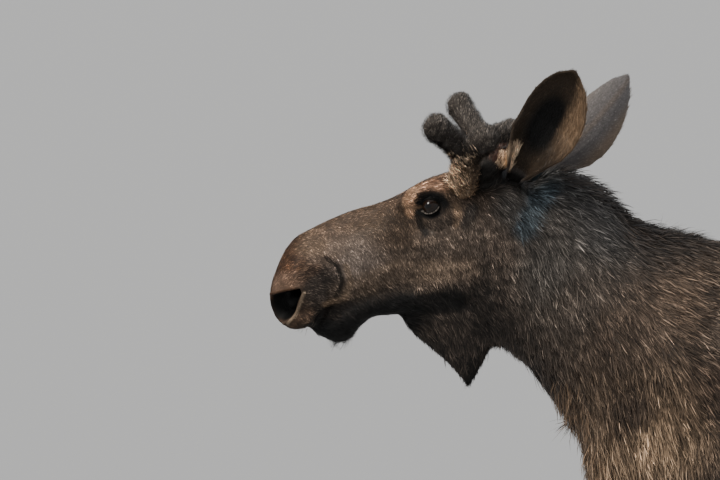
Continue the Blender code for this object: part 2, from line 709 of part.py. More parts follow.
def antler(word, side, collection, cutters):
    """A young bull's antler in velvet: a stem that forks into two blunt knobs."""
    foot, fork, front, rear = (mirrored(point, side) for point in ANTLERS[side])
    start = foot - (fork - foot) * 0.25
    pieces = [
        tube("stem", [start, foot, fork], [*FOOT_RADII, BEAM_RADIUS], collection),
        tube("to_front", [fork, front], [BEAM_RADIUS, FRONT_RADIUS * 0.9], collection),
        tube("to_rear", [fork, rear], [BEAM_RADIUS, REAR_RADIUS * 0.9], collection),
    ]
    for spot, radius in (
        (fork, FORK_RADIUS),
        (front, FRONT_RADIUS),
        (rear, REAR_RADIUS),
    ):
        pieces.append(lump("knob", spot, (radius,) * 3, collection))
    whole = joined(pieces, f"{word}_antler", collection)
    remesh = whole.modifiers.new("melt", "REMESH")
    remesh.mode = "VOXEL"
    remesh.voxel_size = ANTLER_VOXEL
    soften = whole.modifiers.new("soften", "SMOOTH")
    soften.factor, soften.iterations = 0.5, 14
    thin(evaluate(whole), ANTLER_TRIANGLES)
    cuts = []
    for name, end in (("front", front), ("rear", rear)):
        at = fork + (end - fork).normalized() * TINE_CUT
        box = bmesh.new()
        bmesh.ops.create_cube(box, size=1)
        turn = (end - fork).to_track_quat("Z", "Y").to_matrix().to_4x4()
        size = Matrix.Diagonal((TINE_CUT_WIDTH, TINE_CUT_WIDTH, CUT, 1))
        bmesh.ops.transform(
            box, verts=box.verts, matrix=Matrix.Translation(at) @ turn @ size
        )
        made = add_object(f"{word}_{name}_tine_cut", mesh_from(box, name), cutters)
        cuts.append(as_cutter(made))
    subtract(whole, cuts)
    markers = {
        f"{word}_antler_stem": (foot + fork) / 2,
        f"{word}_antler_front_tine": front,
        f"{word}_antler_rear_tine": rear,
    }
    return name_pieces(loose_pieces(whole), markers)


# ================================================================ fitting to the head
def grown(obj, by, collection):
    """A copy of the object, larger by a small clearance all over."""
    mesh = obj.data.copy()
    copy = add_object(f"{obj.name}_clearance", mesh, collection)
    normals = [v.normal.copy() for v in mesh.vertices]
    for vertex, normal in zip(mesh.vertices, normals):
        vertex.co += normal * by
    return as_cutter(copy)


def largest(pieces):
    """Keeps the piece with the most faces and drops crumbs left inside the body."""
    pieces = sorted(pieces, key=lambda p: len(p.data.polygons))
    for crumb in pieces[:-1]:
        bpy.data.objects.remove(crumb, do_unlink=True)
    return pieces[-1]


def fit_against(obj, neighbour, cutters):
    """Cuts away what would pass into the neighbour, and a little clearance."""
    name = obj.name
    subtract(obj, [grown(neighbour, GAP, cutters)])
    kept = largest(loose_pieces(obj))
    kept.name = name
    return kept


def eyeball(name, side, radius, collection):
    centre = on_head(*EYE_AT, side * EYE_OUT)
    return lump(name, centre, (radius,) * 3, collection, around=12)


def nostril(side, cutters):
    """The hollow of a nostril: it opens forwards and to the side."""
    made = []
    for name, (back, above, out), radii in (
        ("front", (0.020, -0.028, 0.058), (0.026, 0.022, 0.024)),
        ("back", (0.040, -0.010, 0.064), (0.020, 0.024, 0.013)),
    ):
        centre = on_head(back, above, side * out)
        hollow = lump(f"nostril_{name}", centre, radii, cutters, HEAD_PITCH, around=12)
        made.append(as_cutter(hollow))
    return made


# ================================================================ materials
COLOURS = {
    "coat": (0.060, 0.040, 0.028, 1),
    "velvet": (0.115, 0.082, 0.062, 1),
    "eye": (0.012, 0.009, 0.008, 1),
    "hoof": (0.035, 0.030, 0.027, 1),
}
ROUGHNESS = {"coat": 0.85, "velvet": 0.9, "eye": 0.08, "hoof": 0.5}


def slot_of(name):
    if "antler" in name:
        return "velvet"
    if "eye" in name:
        return "eye"
    if "hoof" in name or "dewclaw" in name:
        return "hoof"
    return "coat"


def paint(obj):
    slot = slot_of(obj.name)
    material = bpy.data.materials.new(f"{obj.name}_{slot}")
    material.use_nodes = True
    shader = material.node_tree.nodes["Principled BSDF"]
    shader.inputs["Base Color"].default_value = COLOURS[slot]
    shader.inputs["Roughness"].default_value = ROUGHNESS[slot]
    shader.inputs["Metallic"].default_value = 0.0
    obj.data.materials.clear()
    obj.data.materials.append(material)


# ================================================================ the whole moose
def body_form(collection):
    """All the flesh but the ears, as one closed skin."""
    flesh = [
        loft("trunk", TRUNK, collection),
        loft("neck", NECK, collection),
        loft("face", FACE, collection, head_place),
        loft("jaw", JAW, collection, head_place),
        loft("bell", BELL, collection),
        loft("tail_end", TAIL, collection),
    ]
    for side in SIDES:
        fore, hind = FORE_STAGGER[side], HIND_STAGGER[side]
        flesh.append(leg_loft("foreleg", FORELEG, FORELEG_OUT, side, fore, collection))
        flesh.append(leg_loft("hindleg", HINDLEG, HINDLEG_OUT, side, hind, collection))
    flesh += head_lumps(collection)
    return melt(joined(flesh, "body", collection))


def stand_on_floor(collection, cutters):
    """Puts the origin under the middle of the whole, on the floor."""
    points = [v.co for obj in collection.objects for v in obj.data.vertices]
    low = [min(p[i] for p in points) for i in range(3)]
    high = [max(p[i] for p in points) for i in range(3)]
    shift = Vector((-(low[0] + high[0]) / 2, -(low[1] + high[1]) / 2, -low[2]))
    for obj in list(collection.objects) + list(cutters.objects):
        obj.data.transform(Matrix.Translation(shift))


def parted_body(moose):
    """The flesh in its named pieces, each thinned to its share of triangles."""
    cuts = [*BODY_CUTS.values(), *(coronet_cut(*foot) for foot in feet())]
    loose = loose_pieces(saw(body_form(moose), cuts))
    stumps = [piece for piece in loose if middle_of(piece).z < STUMP_HEIGHT]
    for stump in stumps:
        loose.remove(stump)
        bpy.data.objects.remove(stump, do_unlink=True)
    plan = all_pieces()
    markers = {name: (piece.out, piece.y, piece.z) for name, piece in plan.items()}
    pieces = name_pieces(loose, markers)

    mouth = Cut(head_place(JAW_CUT[0]), head_place(JAW_CUT[1]))
    halves = loose_pieces(saw(pieces["head"], [mouth]))
    jaw, head = sorted(halves, key=lambda piece: middle_of(piece).z)
    pieces["lower_jaw"], pieces["head"] = jaw, head
    jaw.name, head.name = "lower_jaw", "head"
    for name, piece in pieces.items():
        thin(piece, plan[name].triangles if name in plan else JAW_TRIANGLES)
    return pieces


def main():
    clear_scene()
    moose = bpy.data.collections.new("moose")
    cutters = bpy.data.collections.new("cutters")
    bpy.context.scene.collection.children.link(moose)
    bpy.context.scene.collection.children.link(cutters)

    pieces = parted_body(moose)
    head = pieces["head"]
    for side, word in SIDES.items():
        socket = as_cutter(eyeball("socket", side, EYE_RADIUS + GAP, cutters))
        subtract(head, [socket, *nostril(side, cutters)])
        eyeball(f"{word}_eye", side, EYE_RADIUS, moose)
        fit_against(ear(f"{word}_ear", EARS[side], moose), head, cutters)
        for name, part in antler(word, side, moose, cutters).items():
            if name.endswith("stem"):
                fit_against(part, head, cutters)

    for name, front, back, x in feet():
        for which, out in (
            ("outer", math.copysign(1, x)),
            ("inner", -math.copysign(1, x)),
        ):
            toe(f"{name}_hoof_{which}", front, back, x, -out, moose)
            claw = dewclaw(f"{name}_dewclaw_{which}", back, x, out, moose)
            fit_against(claw, pieces[f"{name}_lower"], cutters)

    stand_on_floor(moose, cutters)
    for obj in moose.objects:
        obj.data.shade_smooth()
        paint(obj)


main()
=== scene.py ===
"""The looks of a young bull moose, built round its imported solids: one skin under the
whole body, eyes with lids, antlers in velvet, horn hooves, and a coat of solid tufts.

Metres, +Z up.  The moose faces -Y, and its left side is towards +X.  The tables give
places as shares of a node's box, or in millimetres on the head's own axes (back, above
and out), which start at the nose's tip.  Their other lengths are in millimetres too.
"""

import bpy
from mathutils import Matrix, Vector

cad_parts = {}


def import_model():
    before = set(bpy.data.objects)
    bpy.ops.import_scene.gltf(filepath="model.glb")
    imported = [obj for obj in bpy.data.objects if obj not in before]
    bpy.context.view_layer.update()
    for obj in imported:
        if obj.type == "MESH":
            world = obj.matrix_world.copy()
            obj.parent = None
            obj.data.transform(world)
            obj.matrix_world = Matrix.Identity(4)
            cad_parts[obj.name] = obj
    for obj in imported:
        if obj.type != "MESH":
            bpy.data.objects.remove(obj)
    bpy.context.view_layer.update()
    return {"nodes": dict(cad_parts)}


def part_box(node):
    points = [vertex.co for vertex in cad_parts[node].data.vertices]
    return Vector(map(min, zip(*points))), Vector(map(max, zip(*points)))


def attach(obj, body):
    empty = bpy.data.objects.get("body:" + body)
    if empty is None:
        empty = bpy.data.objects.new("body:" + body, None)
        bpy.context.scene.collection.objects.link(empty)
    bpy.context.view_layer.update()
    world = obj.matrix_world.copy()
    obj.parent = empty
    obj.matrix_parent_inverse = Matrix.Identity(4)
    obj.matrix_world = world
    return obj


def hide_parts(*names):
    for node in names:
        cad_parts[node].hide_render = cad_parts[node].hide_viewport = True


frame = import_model()

import math
from collections import namedtuple
from functools import partial

import bmesh
import bpy
import numpy as np
from mathutils import Matrix, Vector
from mathutils.bvhtree import BVHTree

SIDES = {"left": 1, "right": -1}
LIMBS = ("foreleg", "hindleg")
FINE, COARSE = 0.0034, 0.0125  # voxels of the head's skin and of the body's
VELVET_VOXEL, HORN_VOXEL = 0.0031, 0.0028
FRINGE_SEED, ANTLER_SEED, HOOF_SEED = 500, 71, 81
SEAM = 0.0012  # how much the solids are grown, to close the thin cuts between them
SAME_PLACE = 1e-5  # points nearer than this are one point


# ======== places
def centre(node):
    low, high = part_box(node)
    return (low + high) / 2


def on(node, out, back, up):
    """A place by shares of a node's box: out from the midline, back and up."""
    low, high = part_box(node)
    x = out * max(abs(low.x), abs(high.x))
    return Vector((x, low.y + back * (high.y - low.y), low.z + up * (high.z - low.z)))


FACE_PITCH = math.radians(25)  # the face slopes down this much towards the nose
EYE_BACK, EYE_ABOVE = 0.423, 0.04  # the eye on the head's axes
EYE = centre("left_eye")
EYE_RADIUS = (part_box("left_eye")[1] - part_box("left_eye")[0]).z / 2
BACK = Vector((0, math.cos(FACE_PITCH), math.sin(FACE_PITCH)))
ABOVE = Vector((0, -math.sin(FACE_PITCH), math.cos(FACE_PITCH)))
OUT = Vector((1, 0, 0))
NOSE = Vector((0, EYE.y, EYE.z)) - EYE_BACK * BACK - EYE_ABOVE * ABOVE


def head_at(back, above, out):
    """A place on the head's axes, from millimetres."""
    return NOSE + back / 1000 * BACK + above / 1000 * ABOVE + out / 1000 * OUT


def head_way(back, above, out):
    return (back * BACK + above * ABOVE + out * OUT).normalized()


# ======== small tools
def smooth(low, high, x):
    """0 below low and 1 above high, and smooth between them."""
    t = np.clip((x - low) / (high - low), 0, 1)
    return t * t * (3 - 2 * t)


def fall(low, high, x):
    """1 below low and 0 above high."""
    return 1 - smooth(low, high, x)


def unit(v):
    return v / np.maximum(np.linalg.norm(v, axis=-1, keepdims=True), 1e-9)


def fading(distance, width):
    """1 at no distance, and fading out over the width."""
    return np.exp(-((distance / width) ** 2))


def mirrored(points):
    """The points with x always positive, so that one half describes both."""
    return points * np.where(points[:, :1] < 0, [[-1, 1, 1]], 1)


def read(items, what, width, kind=np.float32):
    values = np.empty(len(items) * width, kind)
    items.foreach_get(what, values)
    return values.reshape(-1, width)


def places_of(mesh):
    return read(mesh.vertices, "co", 3).astype(float)


def normals_of(mesh):
    return read(mesh.vertices, "normal", 3).astype(float)


def put_places(mesh, points):
    mesh.vertices.foreach_set("co", points.astype(np.float32).ravel())
    mesh.update()


PULL, PUSH_BACK = 0.5, -0.52  # how far a round of smoothing moves a point


def relax(mesh, rounds, weight=1.0, keep_volume=True):
    """Smooths a mesh.  Each second round pushes back, so that it doesn't shrink."""
    points, ends = places_of(mesh), read(mesh.edges, "vertices", 2, np.int32)
    size = len(points)
    count = np.bincount(ends.ravel(), minlength=size)[:, None]
    weight = np.broadcast_to(weight, size)[:, None]
    for k in range(rounds):
        total = [
            np.bincount(ends[:, 0], points[ends[:, 1], axis], size)
            + np.bincount(ends[:, 1], points[ends[:, 0], axis], size)
            for axis in range(3)
        ]
        pull = PUSH_BACK if keep_volume and k % 2 else PULL
        points += weight * pull * (np.stack(total, 1) / np.maximum(count, 1) - points)
    put_places(mesh, points)


def add_object(name, data):
    made = bpy.data.objects.new(name, data)
    bpy.context.scene.collection.objects.link(made)
    return made


def melted(nodes, voxel, grow=SEAM, lumps=()):
    """One closed skin round copies of the nodes, each grown a little."""
    bm = bmesh.new()
    for node in nodes:
        first = len(bm.verts)
        bm.from_mesh(frame["nodes"][node].data)
        bm.verts.ensure_lookup_table()
        bmesh.ops.remove_doubles(bm, verts=bm.verts[first:], dist=SAME_PLACE)
    bm.normal_update()
    for vertex in bm.verts:
        vertex.co += vertex.normal * grow
    for place, radii in lumps:
        matrix = Matrix.Translation(place) @ Matrix.Diagonal((*radii, 1))
        bmesh.ops.create_uvsphere(bm, u_segments=24, v_segments=16, radius=1, matrix=matrix)
    obj = add_object("melting", bpy.data.meshes.new("melting"))
    bm.to_mesh(obj.data)
    bm.free()
    remesh = obj.modifiers.new("melt", "REMESH")
    remesh.mode = "VOXEL"
    remesh.voxel_size = voxel
    graph = bpy.context.evaluated_depsgraph_get()
    made = bpy.data.meshes.new_from_object(obj.evaluated_get(graph))
    bpy.data.objects.remove(obj)
    return made


# ======== the skin's base
FLESH = [
    "head", "lower_jaw", "neck", "bell", "chest", "barrel", "rump", "tail",
    *(f"{s}_ear" for s in SIDES),
    *(f"{s}_{limb}_{part}" for s in SIDES for limb in LIMBS for part in ("upper", "lower")),
]
HEAD_NODES = ["head", "lower_jaw", "neck", "bell", "left_ear", "right_ear"]
EYES = ["left_eye", "right_eye"]
BODY_NODES = [n for n in FLESH if n not in HEAD_NODES] + ["neck"]
NECK_AXIS = Vector((0, 0.907, -0.42)).normalized()
COLLAR = centre("neck") + NECK_AXIS * 0.03  # where fine skin meets coarse skin

LUMPS = (  # what fills out the ears' roots and the nostrils' wings: place and radii, in mm
    ((553, 58, 60), (30, 42, 30)),
    ((588, 66, 56), (22, 28, 26)),
    ((26, -26, 54), (20, 20, 20)),
)


def half(mesh, keep_front):
    """Cuts a skin at the collar, and keeps the part in front of it or behind it."""
    bm = bmesh.new()
    bm.from_mesh(mesh)
    everything = [*bm.verts, *bm.edges, *bm.faces]
    bmesh.ops.bisect_plane(
        bm, geom=everything, plane_co=COLLAR, plane_no=NECK_AXIS,
        clear_outer=keep_front, clear_inner=not keep_front,
    )
    bm.to_mesh(mesh)
    bm.free()


def whole_skin():
    """Fine skin for the head and ears, coarse skin for the rest, bridged in the neck."""
    lumps = [
        (head_at(back, above, side * out), [radius / 1000 for radius in radii])
        for (back, above, out), radii in LUMPS
        for side in SIDES.values()
    ]
    fine = melted(HEAD_NODES + EYES, FINE, lumps=lumps)
    coarse = melted(BODY_NODES, COARSE)
    points = places_of(fine)
    on_ear = smooth(0, 0.03, ear_height(points))
    relax(fine, 40, 1 - 0.75 * on_ear)
    relax(coarse, 24)
    half(fine, True)
    half(coarse, False)
    bm = bmesh.new()
    bm.from_mesh(fine)
    bm.from_mesh(coarse)
    bmesh.ops.bridge_loops(bm, edges=[e for e in bm.edges if e.is_boundary])
    bmesh.ops.triangulate(bm, faces=[f for f in bm.faces if len(f.verts) > 4])
    bmesh.ops.recalc_face_normals(bm, faces=bm.faces)
    bm.to_mesh(fine)
    bm.free()
    away = np.abs((places_of(fine) - np.array(COLLAR)) @ np.array(NECK_AXIS))
    relax(fine, 30, fall(0.01, 0.06, away))
    return fine


# ======== ears
Ear = namedtuple("Ear", "root axis facing across length")
HALF_EAR = 0.24  # half an ear's width, as a share of its length
EAR_FACES = {"left": Vector((0.93, -0.36, -0.1)), "right": Vector((-0.95, -0.3, 0.1))}


def ear_frame(side):
    """An ear's root and axes, from its node's shape."""
    points = places_of(frame["nodes"][f"{side}_ear"].data)
    tip = Vector(points[points[:, 2].argmax()])
    low = points[points[:, 2] < np.quantile(points[:, 2], 0.12)]
    root = Vector(low.mean(0))
    axis = (tip - root).normalized()
    facing = EAR_FACES[side]
    facing = (facing - axis * facing.dot(axis)).normalized()
    arrays = (np.array(value) for value in (root, axis, facing, axis.cross(facing)))
    return Ear(*arrays, (tip - root).length)


EAR = {side: ear_frame(side) for side in SIDES}


def by_ear(points, side, margin):
    """Which points lie in an ear's box, made larger by the margin."""
    low, high = (np.array(corner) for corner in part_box(f"{side}_ear"))
    return ((points > low - margin) & (points < high + margin)).all(1)


def ear_height(points):
    """How far up an ear each point is, in metres, and below 0 where it is on neither."""
    best = np.full(len(points), -1.0)
    for side, ear in EAR.items():
        up = (points - ear.root) @ ear.axis
        best = np.where(by_ear(points, side, 0.004), np.maximum(best, up), best)
    return best


def ear_places(points, normals, side):
    """On an ear: the share up it, how far back (-1 to 1), 1 inside it, and 1 on it at all."""
    ear = EAR[side]
    away = points - ear.root
    up = away @ ear.axis / ear.length
    back = away @ ear.across * SIDES[side] / (HALF_EAR * ear.length)
    inward = smooth(-0.15, 0.25, normals @ ear.facing)
    return up, back, inward, by_ear(points, side, 0.006) * smooth(0.02, 0.1, up)


def ear_at(side, up, back, inward):
    """A place by shares of an ear: up it, back across it (-1 to 1), and towards its inside."""
    ear = EAR[side]
    across = ear.across * SIDES[side] * HALF_EAR * back
    return ear.root + (ear.axis * up + across + ear.facing * 0.1 * inward) * ear.length


# ======== sculpting the skin
# Places where small shapes are sculpted, and how far round each.  The right eye's lids
# mirror the left one's.
REFINED = [
    (Vector((side * EYE.x, EYE.y, EYE.z)), reach) for side in SIDES.values() for reach in (0.04, 0.032)
]
REFINED += [(head_at(35, -20, side * 60), 0.055) for side in SIDES.values()]


def refine(mesh):
    """Finer faces near those places."""
    bm = bmesh.new()
    bm.from_mesh(mesh)
    for place, reach in REFINED:
        near = [f for f in bm.faces if (f.calc_center_median() - place).length < reach]
        edges = {e for f in near for e in f.edges}
        bmesh.ops.subdivide_edges(bm, edges=list(edges), cuts=1, use_grid_fill=True)
    bmesh.ops.triangulate(bm, faces=[f for f in bm.faces if len(f.verts) > 4])
    bm.to_mesh(mesh)
    bm.free()


DAB_FADE = 1.6  # how far out a dab ends, as a share of its radii
# A dab swells or hollows the skin round a place: its name, the place, radii and height.
HEAD_DABS = (
    ("tear pit", (374, 16, 86), (26, 30, 40), -3),
    ("top of the bridge", (330, 110, 0), (110, 30, 70), -4),
    ("jaw bar", (290, -112, 70), (80, 16, 50), -4),
    ("brow", (425, 82, 78), (45, 16, 40), 3.5),
    ("under the brow", (395, 62, 85), (22, 12, 30), -3.5),
    ("temple", (487, 20, 88), (28, 30, 40), -4.5),
    ("under the cheekbone", (300, -90, 60), (60, 22, 40), -3.5),
    ("wing hollow", (122, -6, 78), (46, 36, 40), -5),
    ("wing front", (82, 12, 70), (14, 34, 40), 2.5),
    ("lip corner", (120, -52, 70), (24, 14, 40), 3),
    ("upper lip", (50, -75, 45), (40, 20, 40), 3),
    ("bridge side", (230, 60, 45), (80, 22, 30), -2.5),
    ("chin pad", (105, -135, 30), (30, 25, 40), 3),
    ("masseter", (420, -100, 90), (55, 60, 40), 3.5),
)
# A crease follows a line: its name, width, depth (below 0 for a ridge) and places.
CREASES = (
    ("mouth", 5, 7.5, (52, -94, 35), (75, -83, 55), (108, -70, 65), (150, -76, 62), (185, -83, 58)),
    ("behind the wing", 7, 4, (158, 30, 68), (176, 0, 70), (170, -30, 68), (140, -56, 68)),
    ("wing front", 6, 2.2, (92, 30, 66), (86, 10, 68), (94, -8, 70)),
    ("wing edge", 6, -2.2, (170, 36, 66), (190, 0, 68), (184, -36, 66), (150, -66, 66)),
    ("under the eye", 4.2, 3, (392, 6, 90), (415, -16, 90), (452, -14, 88)),
    ("second lid fold", 4, 2.2, (398, -6, 90), (425, -30, 90), (462, -22, 88)),
    ("cheekbone", 12, -3.5, (400, -38, 90), (300, -52, 65), (210, -50, 58)),
    ("before the jaw muscle", 10, 2.8, (345, -50, 75), (338, -110, 70), (370, -165, 60)),
    ("jaw into neck", 14, 4, (500, -50, 90), (490, -120, 85), (455, -180, 70)),
)
# Dabs on the body have their places by shares of a node's box.
BODY_DABS = (
    ("shoulder blade", "chest", (0.95, 0.55, 0.74), (100, 50, 160), 10),
    ("behind the shoulder blade", "chest", (0.95, 0.86, 0.66), (100, 50, 160), -10),
    ("point of the shoulder", "chest", (0.9, 0.22, 0.36), (100, 60, 70), 12),
    ("before the shoulder", "chest", (0.85, 0.22, 0.66), (100, 45, 150), -10),
    ("upper arm", "chest", (0.95, 0.52, 0.26), (100, 90, 70), 10),
    ("elbow", "left_foreleg_upper", (0.8, 0.95, 0.86), (60, 35, 60), 12),
    ("behind the elbow", "chest", (0.9, 0.88, 0.14), (100, 50, 90), -12),
    ("flank hollow", "rump", (1, 0.06, 0.62), (100, 60, 100), -16),
    ("hip bone", "rump", (0.85, 0.2, 0.88), (60, 50, 50), 14),
    ("hip joint", "rump", (1, 0.56, 0.62), (100, 70, 80), 8),
    ("stifle", "left_hindleg_upper", (0.95, 0.12, 0.62), (80, 50, 80), 12),
    ("hamstring groove", "left_hindleg_upper", (0.95, 0.7, 0.72), (60, 30, 160), -9),
    ("gaskin", "left_hindleg_upper", (0.95, 0.45, 0.3), (60, 50, 100), 6),
    ("seat bone", "rump", (0.5, 1, 0.62), (50, 50, 60), 10),
    ("ribs", "barrel", (1, 0.42, 0.52), (100, 220, 200), 6),
)
JAW_SEAM = ((150, -100, 55), (260, -108, 60), (370, -128, 75))
BROW_END = ((362, 40, 80), (372, 70, 70))
TAIL_ROOT = on("rump", 0, 1, 0.86)
HEAD_END = 0.62  # how far behind the nose's tip the head's own dabs and creases count


def to_head(points):
    """Places on the head's axes, the out axis always positive."""
    away = points - np.array(NOSE)
    return np.stack([away @ np.array(BACK), away @ np.array(ABOVE), np.abs(away[:, 0])], 1)


def to_line(points, line):
    """How far each point is from a line through several places, in 2 or 3 dimensions."""
    best = np.full(len(points), 1.0)
    for start, end in zip(line, line[1:]):
        start, along = np.array(start), np.array(end) - np.array(start)
        share = np.clip((points - start) @ along / (along @ along), 0, 1)
        best = np.minimum(best, np.linalg.norm(points - start - share[:, None] * along, axis=1))
    return best


def to_head_line(places, line):
    """The same on the head's axes, for a line in millimetres."""
    return to_line(places, np.array(line) / 1000)


def swell(places, place, radii, height):
    """How much a dab raises each point."""
    share = np.linalg.norm((places - place) / (np.array(radii) / 1000) / DAB_FADE, axis=1)
    return height / 1000 * fall(0, 1, share)


NOSTRIL = (  # its outline, (back, above)
    (-30, 6), (12, 8), (46, 2), (80, -6), (79, -14),
    (62, -30), (50, -44), (34, -54), (10, -57), (-30, -52),
)
NOSTRIL_DEPTH, NOSTRIL_RIM = 0.03, 0.0026  # how deep it is, and how far its rim stands out
NOSTRIL_GAP, NOSTRIL_ROUND = 0.028, 0.022  # half the bridge between them, and its rounding
NOSTRIL_ZONE = 0.13  # how far behind the nose's tip the nostrils reach


def to_outline(places, corners):
    """How far outside an outline on the head's (back, above) plane, negative inside."""
    best, inside = np.full(len(places), 1.0), np.zeros(len(places), bool)
    for start, stop in zip(corners, np.roll(corners, -1, 0)):
        along, away = stop - start, places[:, :2] - start
        share = np.clip(away @ along / (along @ along), 0, 1)
        best = np.minimum(best, np.linalg.norm(away - share[:, None] * along, axis=1))
        crosses = (start[1] > places[:, 1]) != (stop[1] > places[:, 1])
        rise = along[1] if along[1] else 1e-9
        inside ^= crosses & (places[:, 0] < start[0] + along[0] * (places[:, 1] - start[1]) / rise)
    return np.where(inside, -best, best)


def nostril_reach(places):
    """0 at the nostril's edge, negative inside it, in metres along the head's axes."""
    a, b = to_outline(places, np.array(NOSTRIL) / 1000), NOSTRIL_GAP - places[:, 2]
    return (a + b + np.sqrt((a - b) ** 2 + NOSTRIL_ROUND**2)) / 2 - 0.22 * NOSTRIL_ROUND


def carve_nostrils(points, places):
    """Moves the points, and gives back how far each is inside a nostril, 0 to 1."""
    reach = nostril_reach(places)
    near = places[:, 0] < NOSTRIL_ZONE
    inside = fall(-0.0095, 0.0005, reach) * near
    rim = fading(reach - 0.0035, 0.0035) * near * (places[:, 0] > 0.01)
    side = np.sign(points[:, :1])
    inward = np.array(BACK) + side * np.array([-0.55, 0, 0])
    outward = -np.array(BACK) + side * np.array([0.9, 0, 0])
    points += NOSTRIL_DEPTH * inside[:, None] * inward + NOSTRIL_RIM * rim[:, None] * outward
    return fall(-0.0035, 0.0005, reach) * near


# ---- lids
LID = 0.0021  # how thick the lids are over the eyeball
EYE_ZONE = 0.045  # how far round an eye's middle the lids and their folds reach
GAZE = Vector((0.95, -0.3, 0.06)).normalized()
LID_TILT = math.radians(12)  # the front corner of the eye is the lower one
OPENING, UPPER, LOWER = 0.02, 0.0142, 0.015  # half the width, and the heights


def eye_axes():
    """The way to the left eye's front corner, the way up, and the way it looks."""
    front = (Vector((0, -1, 0)) + GAZE * GAZE.y).normalized()
    up = front.cross(GAZE)
    cos, sin = math.cos(LID_TILT), math.sin(LID_TILT)
    return np.array([front * cos - up * sin, up * cos + front * sin, GAZE])


def lid_reach(x, y):
    """How far outside the eye's opening a point is, in metres, and negative inside."""
    share = np.clip(1 - (x / OPENING) ** 2, 0, 1) ** 0.5
    above, below = y - UPPER * share, -LOWER * share - y
    beyond = np.abs(x) - OPENING
    return np.maximum(np.maximum(above, below), beyond)


def round_eye(points):
    """How each point lies round its side's eye: its distance from the middle, the ray to it,
    how far across and up the opening it is, how far outside it, and whether it is near."""
    front, up, gaze = eye_axes()
    away = mirrored(points) - np.array(EYE)
    radius = np.linalg.norm(away, axis=1)
    near = (radius < EYE_ZONE) & (away @ gaze > 0.004)
    ray = away / np.maximum(radius, 1e-6)[:, None]
    x, y = ray @ front * EYE_RADIUS, ray @ up * EYE_RADIUS
    reach = lid_reach(x, y)
    reach += (reach > 0) * np.maximum(radius - 1.2 * EYE_RADIUS, 0)
    return radius, ray, x, y, reach, near


def open_lids(points):
    """Draws the skin over the eyeballs as lids, and in under them inside the openings."""
    lid = EYE_RADIUS + LID
    radius, ray, *_, reach, near = round_eye(points)
    outside = lid + (np.maximum(radius, lid) - lid) * smooth(0.002, 0.011, reach)
    wanted = np.where(reach > 0, outside, EYE_RADIUS - 0.004)
    moved = np.array(EYE) + ray * wanted[:, None]
    moved[:, 0] *= np.sign(points[:, 0])
    points[near] = moved[near]


def sculpt(mesh):
    """Shapes the skin, and gives back how far each point is inside a nostril, 0 to 1."""
    places = to_head(places_of(mesh))
    for line, rounds, width in ((JAW_SEAM, 90, 0.036), (BROW_END, 24, 0.022)):
        relax(mesh, rounds, fading(to_head_line(places, line), width), keep_volume=False)
    to_tail = np.linalg.norm(places_of(mesh) - np.array(TAIL_ROOT), axis=1)
    relax(mesh, 60, fading(to_tail, 0.11), keep_volume=False)
    points, normals = places_of(mesh), normals_of(mesh)
    places, one_side = to_head(points), mirrored(points)
    head = sum(swell(places, np.array(place) / 1000, *rest) for _, place, *rest in HEAD_DABS)
    for _, width, depth, *line in CREASES:
        head -= depth / 1000 * fading(to_head_line(places, line), width / 1000)
    body = sum(swell(one_side, np.array(on(node, *place)), *rest)
               for _, node, place, *rest in BODY_DABS)
    on_head = (places[:, 0] < HEAD_END) & (ear_height(points) < 0)
    points += normals * np.where(on_head, head, body)[:, None]
    hollow = carve_nostrils(points, places)
    put_places(mesh, points)
    relax(mesh, 4, on_head * 0.8)
    points = places_of(mesh)
    open_lids(points)
    put_places(mesh, points)
    return hollow


# ======== the lie of the coat
# Linear colours of the hair.
BLACK = (0.003, 0.003, 0.003)
INK = (0.006, 0.0055, 0.005)
SOOT = (0.017, 0.014, 0.012)
SEPIA = (0.038, 0.029, 0.023)
UMBER = (0.062, 0.045, 0.033)
BROWN = (0.095, 0.066, 0.046)
DUN = (0.13, 0.097, 0.073)
FAWN = (0.172, 0.13, 0.1)
RUST = (0.16, 0.083, 0.044)
TAN = (0.22, 0.145, 0.09)
SAND = (0.36, 0.25, 0.16)
CREAM = (0.52, 0.39, 0.27)
STONE = (0.085, 0.076, 0.067)
ASH = (0.21, 0.185, 0.16)

